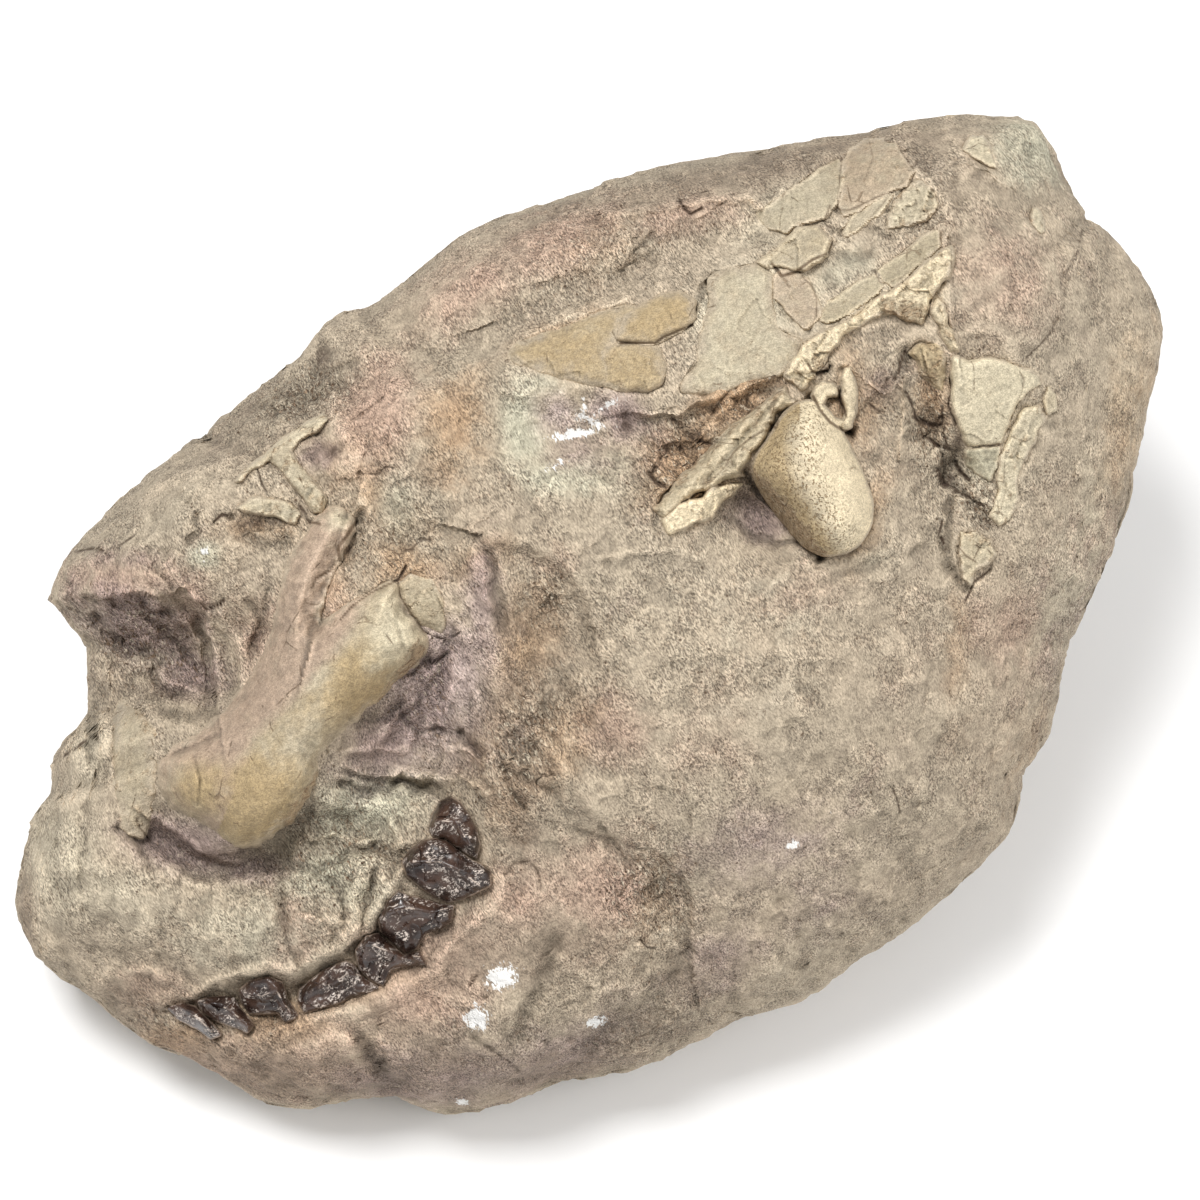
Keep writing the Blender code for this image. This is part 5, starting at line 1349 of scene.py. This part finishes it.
def mudstone():
    """Weathered mudstone: tinted patches, painted shade and highlight, grit in oblique strands, small cracks,
    dark dots and chalk.
    """
    sh = Shade("mudstone")
    wander = sh.noise(9, 5, 0.68)
    wander_b = sh.noise(7, 5, 0.68, vector=sh.moved(0.31))
    slow = sh.noise(38, 2, 0.6, vector=sh.moved(0.11))
    lumpy = sh.noise(4, 3, 0.55, 0.5, sh.moved(0.53))
    hatch = sh.noise(1.1, 2, 0.6, 0.8, sh.moved(0.3, (1.7, 0.7, 1.1)))
    grit = sh.noise(0.55, 2, 0.65, 0.6, sh.moved(0.71, (1.6, 0.75, 1.1)))
    strands = sh.noise(0.42, 2, 0.6, 0.4, sh.moved(0.83, (1.5, 0.5, 1.1)))
    unrest = sh.plus(sh.span(wander, 0.4, 0.58, 0.35, 1.0), sh.times(sh.attr("chipped"), 0.5))
    strands = sh.swing(strands, unrest)

    colour = sh.mix(sh.span(slow, 0.35, 0.65), ROCK, ROCK_WARM)
    colour = sh.mix(sh.span(wander_b, 0.4, 0.65, 0, 0.2), colour, ROCK_DARK)
    for name, edge, gain, shade in (
        # The pale tint is also painted light on the hollow behind the cheek bone and on the right flank.
        ("pale", wander_b, 0.75, tint(207, 196, 172)),
        ("pink", wander, 0.6, tint(199, 163, 144)),
        ("brown", wander_b, 0.75, tint(180, 145, 110)),
        ("green", wander_b, 0.75, tint(190, 187, 165)),
        # A lilac tint, which is also painted light in shaded hollows.
        ("lilac_and_painted_light", wander_b, 0.9, tint(208, 188, 180)),
        ("purple", wander, 0.8, tint(163, 142, 137)),
        # Painted shade over the top band, the jaw and other dim places.
        ("painted_shade", wander_b, 0.8, tint(142, 126, 109)),
    ):
        colour = sh.mix(sh.patch(name, edge, gain), colour, shade)
    # Painted shade in the carved grooves and in hollows, and painted highlight on ridges and bumps.
    colour = sh.shadowed(colour, sh.attr("carved"), -0.9, 0.9, 0.72, 1.18)
    colour = sh.shadowed(colour, sh.attr("cavity"), 0.9, -0.9, 0.75, 1.18)
    colour = sh.shadowed(colour, lumpy, 0.35, 0.65, 0.975, 1.025)

    broken = sh.span(sh.attr("chipped"), 0.0, 1.0, 0.0, 1.0)
    rough_here = sh.plus(broken, sh.span(wander, 0.42, 0.62, 0.04, 0.4))
    strokes = sh.times(sh.span(hatch, 0.34, 0.44, 1.0, 0.0), rough_here, True)
    colour = sh.mix(strokes, colour, tint(132, 111, 90))
    glints = sh.times(sh.span(hatch, 0.56, 0.68), sh.times(rough_here, 0.7), True)
    colour = sh.mix(glints, colour, tint(222, 208, 184))
    colour = sh.shadowed(colour, grit, 0.42, 0.3, 1.0, 0.84)
    colour = sh.shadowed(colour, grit, 0.58, 0.7, 1.0, 1.08)
    colour = sh.shadowed(colour, strands, -0.15, 0.15, 0.52, 1.48)

    net = sh.span(sh.cells(2.6, "DISTANCE_TO_EDGE", sh.bent(0.9, 0.9)), 0.05, 0.01)
    net = sh.times(net, sh.span(wander_b, 0.46, 0.56))
    net = sh.times(net, sh.span(sh.attr("chipped"), 0.15, 0.6, 0.06, 1.0))
    colour = sh.mix(sh.times(net, 0.8), colour, tint(92, 74, 58))
    crease = sh.calc("SUBTRACT", sh.noise(5.5, 3, 0.6, 1.0, sh.moved(0.91)), 0.5)
    crease = sh.span(sh.calc("ABSOLUTE", crease), 0.012, 0.0)
    crease = sh.times(crease, sh.span(wander_b, 0.56, 0.66))
    colour = sh.mix(sh.times(crease, 0.7), colour, tint(96, 78, 62))
    colour = sh.mix(sh.times(sh.attr("seam"), 0.35), colour, tint(110, 90, 70))
    colour = sh.mix(sh.span(sh.attr("crack"), 0.25, 0.8, 0, 0.85), colour, tint(72, 56, 44))
    dots = sh.span(sh.cells(2.0, vector=sh.moved(0.19)), 0.17, 0.08, 0, 0.8)
    dots = sh.times(dots, sh.plus(sh.span(wander, 0.45, 0.55), sh.attr("chipped")), True)
    colour = sh.mix(dots, colour, tint(92, 74, 58))
    # Painted shadow in the deepest cracks and hollows.
    colour = sh.mix(sh.patch("dark", hatch, 0.8), colour, tint(84, 68, 58))
    chalk = sh.plus(sh.attr("chalk"), sh.swing(hatch, 1.6))
    colour = sh.mix(sh.span(chalk, 0.42, 0.6), colour, tint(240, 238, 234))

    sh.bump(lumpy, 0.5)
    sh.bump(sh.times(hatch, sh.plus(sh.attr("chipped"), 0.5)), 0.8)
    sh.bump(strands, 0.5)
    return sh.done(colour, sh.span(grit, 0.3, 0.7, 0.82, 0.97), 0.2)


def fossil_bone(name, pits, crack, cream):
    """Cream to ochre bone with earth stains, painted shade and highlight, a net of fine cracks, and pores
    where it is pitted.
    """
    sh = Shade(name)
    wander = sh.noise(5, 6, 0.68)
    cloud = sh.noise(13, 4, 0.6, vector=sh.moved(0.23))
    mottle = sh.noise(2.6, 3, 0.6, vector=sh.moved(0.41))
    speck = sh.noise(0.8, 2, 0.65, vector=sh.moved(0.66))
    sand = sh.noise(0.3, 1, 0.5, 0.5, sh.moved(0.83, (1.0, 1.5, 1.1), (0.3, 0.5, 0.8)))
    hatch = sh.noise(1.4, 3, 0.6, 1.2, sh.moved(0.3, (1.0, 1.7, 1.2), (0.4, 0.3, 0.9)))

    colour = sh.mix(sh.span(cloud, 0.35, 0.65), tint(189, 176, 151), tint(178, 163, 137))
    for key, gain, shade in (
        ("ochre", 0.9, tint(175, 152, 113)),
        ("pink", 0.85, tint(181, 157, 137)),
        ("green", 0.6, tint(174, 171, 148)),
        ("pale", 0.95, cream),
    ):
        colour = sh.mix(sh.patch(key, wander, gain), colour, shade)
    dirt = sh.plus(sh.attr("rim"), sh.swing(wander, 1.8))
    colour = sh.mix(sh.span(dirt, 0.2, 0.8, 0, 0.85), colour, ROCK)
    # Earth stains, which on the rod also hold painted shade down its shaded lower-left side.
    stain_and_painted_shade = sh.span(sh.plus(sh.attr("earth"), sh.swing(mottle, 1.6)), 0.3, 0.75)
    colour = sh.mix(sh.times(stain_and_painted_shade, 0.85), colour, tint(172, 148, 118))
    strokes = sh.times(sh.span(hatch, 0.37, 0.47, 0.9, 0.0), sh.plus(stain_and_painted_shade, 0.12), True)
    colour = sh.mix(strokes, colour, tint(128, 104, 78))
    glints = sh.times(sh.span(hatch, 0.55, 0.68, 0.0, 0.6), sh.plus(stain_and_painted_shade, 0.1), True)
    colour = sh.mix(glints, colour, tint(207, 194, 168))
    colour = sh.shadowed(colour, mottle, 0.36, 0.66, 0.93, 1.06)
    colour = sh.shadowed(colour, speck, 0.34, 0.66, 0.88, 1.08)
    colour = sh.shadowed(colour, sand, 0.36, 0.64, 0.8, 1.18)
    # Painted shade in hollows and painted highlight on ridges.
    colour = sh.shadowed(colour, sh.attr("cavity"), 0.8, -0.8, 0.5, 1.2)

    lines = sh.span(sh.cells(crack, "DISTANCE_TO_EDGE", sh.moved(0.37)), 0.02, 0.004, 0, 0.6)
    lines = sh.times(lines, sh.span(wander, 0.52, 0.62))
    colour = sh.mix(lines, colour, tint(113, 91, 68))
    colour = sh.mix(sh.span(sh.attr("crack"), 0.3, 0.9, 0, 0.8), colour, tint(96, 76, 56))
    pore = sh.noise(0.36, 1, 0.5, 0.3, sh.moved(0.19, (1.0, 0.55, 1.0), (0.5, 0.3, 0.6)))
    holes = sh.times(sh.span(pore, 0.42, 0.35), sh.times(sh.attr("pitted"), pits), True)
    colour = sh.mix(sh.times(holes, 0.75), colour, tint(132, 108, 74))

    sh.bump(mottle, 0.5, 0.9)
    sh.bump(speck, 0.25, 0.9)
    sh.bump(sh.times(hatch, stain_and_painted_shade), 0.9)
    sh.bump(holes, -0.35)
    sh.bump(lines, -0.3, 0.9)
    return sh.done(colour, sh.span(mottle, 0.3, 0.7, 0.55, 0.8), 0.3)


def enamel():
    """Dark glossy enamel with pale worn flakes and edges, painted highlight on its crests and painted shade
    in hollows.
    """
    sh = Shade("tooth_enamel")
    cloud = sh.noise(4.0, 3, 0.6)
    patchy = sh.noise(3.2, 4, 0.65, 0.6, sh.moved(0.44))
    flake = sh.noise(0.9, 2, 0.6, 1.4, sh.moved(0.3, (1.0, 2.2, 1.0), (0.3, 0.2, 0.6)))
    colour = sh.mix(sh.span(cloud, 0.35, 0.65), tint(40, 28, 24), tint(76, 56, 46))
    worn = sh.times(sh.span(flake, 0.5, 0.56), sh.span(patchy, 0.5, 0.56))
    colour = sh.mix(worn, colour, tint(214, 200, 188))
    colour = sh.mix(sh.span(flake, 0.69, 0.72, 0, 0.8), colour, tint(200, 184, 172))
    # Painted highlight along each tooth's crest.
    crest = sh.times(sh.span(sh.attr("ridge"), 0.8, 0.97), sh.span(patchy, 0.48, 0.56))
    colour = sh.mix(crest, colour, tint(206, 188, 172))
    edge = sh.times(sh.span(sh.attr("rim"), 0.55, 0.9), sh.span(patchy, 0.4, 0.55, 0.1, 0.9))
    colour = sh.mix(edge, colour, tint(176, 154, 134))
    # Painted shade in hollows.
    colour = sh.mix(sh.span(sh.attr("cavity"), 0.2, 0.8, 0, 0.8), colour, tint(36, 25, 21))
    sh.bump(cloud, 0.3, 0.5)
    sh.bump(worn, 0.25, 0.8)
    return sh.done(colour, sh.span(patchy, 0.4, 0.6, 0.24, 0.5), 0.55)


def floor_paper():
    """Plain light paper."""
    sh = Shade("floor_paper")
    tone = sh.noise(160, 3, 0.5)
    colour = sh.mix(sh.span(tone, 0.3, 0.7), (0.92, 0.92, 0.92), (0.94, 0.94, 0.94))
    sh.bump(sh.noise(2.0, 2, 0.5), 0.05, 0.2)
    return sh.done(colour, 0.9, 0.1)


# ---- looks of the bones ---------------------------------------------------------------------------


def no_shape(s, t, d):
    """Nothing is added to the height of a plain bone."""
    return 0.0


# What a bone looks like where nothing else is said. The shape is a function that adds height.
PLAIN = {
    "edge": 0.8,  # width of its rounded edge
    "wall": 0.0,  # share of its rise that stands straight up at the edge
    "sink": 0.5,  # share of its rise that lies under the stone's surface
    "lean": 0.0,  # how much higher its lower right lies than its upper left
    "shape": no_shape,
    "plates": 0.35,  # heights of broken faces, waves, crumbs and chips in the outline
    "ripple": 0.35,
    "crumbs": 0.0,
    "chip": 0.35,
    "grow": 0.35,  # how far the outline is let out
    "cut": 0,  # how many times the outline's corners are cut off
    "gap": 0.4,  # strength of the seam round it
    "bury": 0.2,  # how far in from its edge the stone drops away under it
    "blend": 0.6,  # width of the earthy rim
    "line": None,  # course of a tooth's crest
    "spacing": 0.32,  # width of a cell of its grid
    "earth": 0.15,  # shares of the stains and tints, as numbers or functions of the place
    "ochre": 0.0,
    "pink": 0.0,
    "pale": 0.0,
    "green": 0.0,
    "pitted": 0.0,
}
FLUSH = dict(edge=0.6, sink=0.82, grow=0.8, gap=0.2, ripple=0.3, plates=0.25, chip=0.45, lean=0.9)


def looks(**changes):
    return {**PLAIN, **changes}


def flush(**changes):
    """A plate of the skull roof, worn down nearly level with the stone."""
    return looks(**{**FLUSH, **changes})


def cheek_shape(s, t, d):
    high = swell(s, t, (-67.6, -34.4), (14, 10), 1.2, 30) + swell(s, t, (-50, -10), (12, 8), 1.0, 50)
    front_split = fold(s, t, [(-87, -31.4), (-80, -28.8), (-76.8, -27)], 0.5, -0.6)
    high += front_split + fold(s, t, [(-81.2, -31.2), (-80, -36), (-80.4, -40.8)], 0.4, -0.5)
    return high + fold(s, t, [(-39.2, 2.8), (-40.8, -4), (-39.2, -10)], 0.5, -0.5)


def cheek_pink(s, t):
    ridge = [(-72.8, -38), (-68.4, -28), (-58, -18), (-49.6, -8), (-45.6, 0)]
    band = np.clip((side_of(s, t, ridge) + 1.0) / 4, 0, 1)
    front = swell(s, t, (-77, -23), (7, 5), 0.8)
    return np.maximum(band * 0.9, front) * (1 - swell(s, t, (-80, -38), (8, 6), 0.9))


def cheek_pale(s, t):
    tip = swell(s, t, (-52, 16), (3, 3), 0.9)
    return np.maximum(tip, swell(s, t, (-40.8, -6), (6, 10), 0.9, -20))


def cheek_ochre(s, t):
    warm = swell(s, t, (-73, -39), (15, 8), 1.0, -25) + swell(s, t, (-47, -16), (8, 6), 0.9, 45)
    return np.clip(0.35 + warm - 0.5 * cheek_pink(s, t), 0, 1)


def cheek_earth(s, t):
    lower_edge = [(-62, -44), (-54, -34), (-44, -22), (-36, -10)]
    return 0.1 + 0.8 * np.clip(1 - np.abs(side_of(s, t, lower_edge)) / 2.5, 0, 1)


# The rod's colours paint its light: pale on its lit right side, ochre and earth as painted shade on its left
# and lower-left side.
ROD_MIDDLE = [(40, 34), (40, 26), (49.2, 10.4)]


def rod_pale_painted_light(s, t):
    return np.clip(0.6 + side_of(s, t, ROD_MIDDLE) / 6, 0.1, 1.0)


def rod_ochre_painted_shade(s, t):
    return np.clip(0.2 - side_of(s, t, ROD_MIDDLE) / 6, 0.0, 0.8)


def rod_pits(s, t):
    return np.clip(0.8 - side_of(s, t, [(44.4, 36), (42.4, 26), (51.2, 12)]) / 4, 0.08, 1)


def rod_earth(s, t):
    return np.clip(1.0 - side_of(s, t, [(27.2, 27.6), (35.2, 20), (44, 8)]) / 3.2, 0, 0.95)


def rod_shape(s, t, d):
    return 2.6 * np.sqrt(np.clip(1 - (1 - np.clip(d / 7.5, 0, 1)) ** 2, 0, 1))


def curl_shape(s, t, d):
    return 0.9 * np.sqrt(np.clip(d / 1.4, 0, 1)) + 0.35 * grain(flat_points(s, t), 1.8, 4)


def bar_shape(s, t, d):
    high = fold(s, t, [(37.2, 43.2), (29, 35.2), (21.2, 27.2), (13.6, 16.8)], 0.8, 0.9)
    groove = fold(s, t, [(35.2, 40), (27.6, 31.2), (20.8, 23.2)], 0.6, -0.8)
    high += groove + fold(s, t, [(32.8, 32.8), (27.2, 26), (20, 22)], 0.7, 0.7)
    return high


def bar_earth(s, t):
    clean = fold(s, t, [(14.4, 19), (20, 24.4), (29, 34.4)], 1.2, -0.3)
    return np.clip(0.42 + clean + 0.25 * side_of(s, t, [(13.6, 16.8), (29, 35.2), (37.2, 43.2)]) / 6, 0, 0.6)


def crest_earth(s, t):
    return 0.28 + swell(s, t, (61, 56.4), (5, 4), 0.4)


def tooth(edge, crest):
    """A tooth with a crest along a line and chipped lobes."""

    def shape(s, t, d):
        lobes = fold(s, t, crest, 1.1, 1.4) + 0.9 * facets(s, t, 3.6, 5)
        return lobes * np.clip(d / 1.2, 0, 1) + 0.12 * grain(flat_points(s, t), 1.3, 9) - 0.2

    return looks(
        edge=edge, wall=0.1, sink=0.0, plates=0.0, ripple=0.1, chip=0.15, grow=0.5, gap=0.9, spacing=0.24,
        shape=shape, line=crest,
    )


LOOKS = {
    "cheek_bone": looks(
        edge=9.0, wall=-0.7, sink=0.0, bury=2.6, blend=1.6, plates=0.0, ripple=0.35, chip=0.5, grow=1.8,
        gap=0.0, ochre=cheek_ochre, pink=cheek_pink, pale=cheek_pale, earth=cheek_earth,
        shape=cheek_shape, spacing=0.42, cut=1,
    ),
    "cheek_end": looks(pale=0.25, ochre=0.05, edge=2.2, sink=0.35, gap=0.3, grow=0.6, earth=0.2),
    "muzzle_plate": looks(
        edge=4, sink=0.9, bury=1.2, blend=3.0, plates=0.0, ripple=0.4, chip=0.5, grow=1.8, gap=0.0,
        earth=0.25, spacing=0.5,
    ),
    "tooth_1": tooth(2.2, [(-32.8, -44), (-29, -44.4), (-26, -49)]),
    "tooth_2": tooth(2.6, [(-37.6, -52.4), (-32, -52.4), (-27.6, -54.4), (-24, -57.2)]),
    "tooth_3": tooth(2.4, [(-42.4, -62.4), (-38, -61.6), (-34, -62.4), (-30.4, -61.6)]),
    "tooth_4": tooth(2.0, [(-46.8, -68.4), (-43.2, -70), (-36, -71.4)]),
    "tooth_5": tooth(2.2, [(-58.4, -78.4), (-53, -76.4), (-50, -74.4), (-45.2, -76)]),
    "tooth_6": tooth(1.8, [(-71.2, -78.4), (-67.6, -79.2), (-64.8, -78), (-62, -82.4)]),
    "tooth_7": tooth(1.7, [(-79.2, -80.6), (-74.8, -81.6), (-70.4, -84.8)]),
    "tooth_8": tooth(1.4, [(-82.8, -82), (-80.4, -83.6), (-77.6, -86.4)]),
    "brow_bone": looks(pale=0.45, ochre=0.1, edge=1.4, sink=0.35, earth=0.3, crumbs=0.25, grow=0.2),
    "brow_chip": looks(pale=0.5, pink=0.1, sink=0.35, earth=0.35, crumbs=0.3),
    "temple_slab": flush(lean=0.4, ochre=0.75, edge=3.0, sink=0.7, gap=0.0, grow=1.6, blend=2.6, cut=1),
    "temple_upper": looks(
        ochre=0.85, edge=3.5, sink=0.35, ripple=0.25, plates=0.0, gap=0.1, grow=1.2, blend=1.8,
    ),
    "temple_lower": flush(lean=0.4, ochre=0.8, edge=3.0, sink=0.6, ripple=0.25, gap=0.0, grow=1.6, blend=2.6),
    "roof_fan_left": flush(pale=0.1, green=0.3, ochre=0.15, crumbs=0.15, blend=1.0, grow=1.1),
    "roof_fan_top": flush(pink=0.45, ochre=0.3, pale=0.15, crumbs=0.15, grow=1.1, blend=1.0),
    "roof_fan_right": flush(pale=0.5, crumbs=0.5, ochre=0.15, plates=0.8, grow=1.1, blend=1.0, earth=0.3),
    "roof_sliver": flush(pale=0.35, pink=0.3, grow=1.0),
    "roof_raised": looks(lean=0.8, pale=0.1, ochre=0.25, green=0.1, edge=1.0, sink=0.4, plates=0.6, grow=0.5),
    "roof_flake": flush(pale=0.2, pink=0.5, sink=0.75, grow=1.0),
    "roof_pale": flush(
        pale=0.45, green=0.4, ochre=0.1, edge=3.0, ripple=0.6, sink=0.8, grow=1.4, blend=2.4, gap=0.0,
    ),
    "roof_long_left": flush(green=0.4, pale=0.1, ochre=0.3),
    "roof_long_right": flush(green=0.35, pale=0.1, ochre=0.3, sink=0.7),
    "crest_bone": looks(
        pale=0.7, pink=0.15, edge=1.2, wall=0.1, sink=0.3, plates=1.0, ripple=0.7, chip=0.7, grow=1.0,
        crumbs=0.5, earth=crest_earth, pitted=0.15,
    ),
    "crest_leg": looks(
        pale=0.5, pink=0.2, chip=0.6, edge=1.2, sink=0.45, plates=0.6, ripple=0.5, grow=0.6, crumbs=0.3,
        earth=0.3,
    ),
    "crown_chip": looks(pale=0.7, sink=0.4),
    "crown_sliver": looks(pale=0.6, earth=0.2, cut=1),
    "rod_bone": looks(
        edge=8.0, wall=0.1, sink=0.0, plates=0.0, ripple=0.25, chip=0.15, grow=0.6, gap=0.7,
        ochre=rod_ochre_painted_shade, pale=rod_pale_painted_light, earth=rod_earth, pitted=rod_pits, shape=rod_shape, spacing=0.36,
        cut=2,
    ),
    "bar_bone": looks(
        edge=2.4, sink=0.45, plates=0.6, ripple=0.7, chip=0.7, grow=0.8, pink=0.3, ochre=0.55, pale=0.5,
        earth=bar_earth, gap=0.1, crumbs=0.3, shape=bar_shape, spacing=0.28,
    ),
    "bar_chip": looks(pale=0.95, earth=0.3, edge=1.4, chip=0.8, grow=0.8, pitted=0.15, crumbs=0.4, sink=0.35),
    "curl_bone": looks(
        edge=0.9, pale=0.6, ochre=0.1, sink=0.2, ripple=0.3, plates=0.2, chip=0.2, grow=0.2, earth=0.2,
        gap=0.6, crumbs=0.2, shape=curl_shape, spacing=0.24,
    ),
    "nape_ochre": looks(
        ochre=0.6, pale=0.2, edge=2.0, ripple=0.6, earth=0.35, crumbs=0.4, pitted=0.3, chip=0.6,
    ),
    "nape_plate": looks(
        lean=-0.6, green=0.3, pale=0.8, edge=1.6, ripple=0.5, sink=0.45, chip=0.5, earth=0.05, crumbs=0.05,
    ),
    "nape_green": looks(green=0.9, ripple=0.5, crumbs=0.3, sink=0.6, grow=0.6),
    "nape_rim": looks(pale=0.6, pink=0.2, edge=1.2, chip=0.6, grow=1.1, crumbs=0.3, sink=0.55, earth=0.25),
    "nape_sliver": looks(pale=0.6, pink=0.3),
    "nape_foot": looks(ochre=0.2, pale=0.4, chip=0.7, earth=0.25, crumbs=0.25),
}
BONES = {node: (rise, corner_cut(outline, LOOKS[node]["cut"])) for node, (rise, outline) in BONES.items()}

# ---- putting it together --------------------------------------------------------------------------

stone(mudstone())
plain_bone = fossil_bone("fossil_bone", 0.0, 9.0, tint(210, 198, 170))
pitted_bone = fossil_bone("pitted_bone", 1.0, 14.0, tint(230, 213, 180))
tooth_enamel = enamel()
for node, (rise, outline) in BONES.items():
    material, slot = plain_bone, "fossil_bone"
    if node in ("rod_bone", "crest_bone", "crest_leg", "curl_bone", "bar_chip"):
        material = pitted_bone
    if node.startswith("tooth"):
        material, slot = tooth_enamel, "tooth_enamel"
    bone(node, rise, LOOKS[node], outline, material, slot)

# ---- floor, light and camera ----------------------------------------------------------------------

bm = bmesh.new()
bmesh.ops.create_grid(bm, x_segments=1, y_segments=1, size=FLOOR_HALF_WIDTH)
floor_mesh = bpy.data.meshes.new("floor")
bm.to_mesh(floor_mesh)
bm.free()
floor = bpy.data.objects.new("floor", floor_mesh)
bpy.context.scene.collection.objects.link(floor)
floor.location.z = -FLOOR_DROP
floor_mesh.materials.append(floor_paper())

world = bpy.data.worlds.new("studio")
bpy.context.scene.world = world
world.use_nodes = True
world.node_tree.nodes["Background"].inputs["Color"].default_value = (1, 1, 1, 1)
world.node_tree.nodes["Background"].inputs["Strength"].default_value = WORLD_LIGHT

for name, (right, up, out, size, power) in LAMPS.items():
    light = bpy.data.lights.new(name, "AREA")
    light.size = size
    light.energy = power
    lamp = bpy.data.objects.new(name, light)
    bpy.context.scene.collection.objects.link(lamp)
    spot = Vector(CENTRE * MM + RIGHT * right + UP * up + OUT * out)
    lamp.location = spot
    lamp.rotation_euler = (spot - Vector(CENTRE * MM)).to_track_quat("Z", "Y").to_euler()

camera = bpy.data.cameras.new("camera")
camera.sensor_width = SENSOR_WIDTH
camera.lens = SENSOR_WIDTH * EYE_DISTANCE / SHEET_WIDTH
view = bpy.data.objects.new("camera", camera)
bpy.context.scene.collection.objects.link(view)
view.location = (CENTRE + OUT * EYE_DISTANCE) * MM
view.rotation_euler = Vector(OUT).to_track_quat("Z", "Y").to_euler()
bpy.context.scene.camera = view
bpy.context.scene.view_settings.view_transform = "Standard"
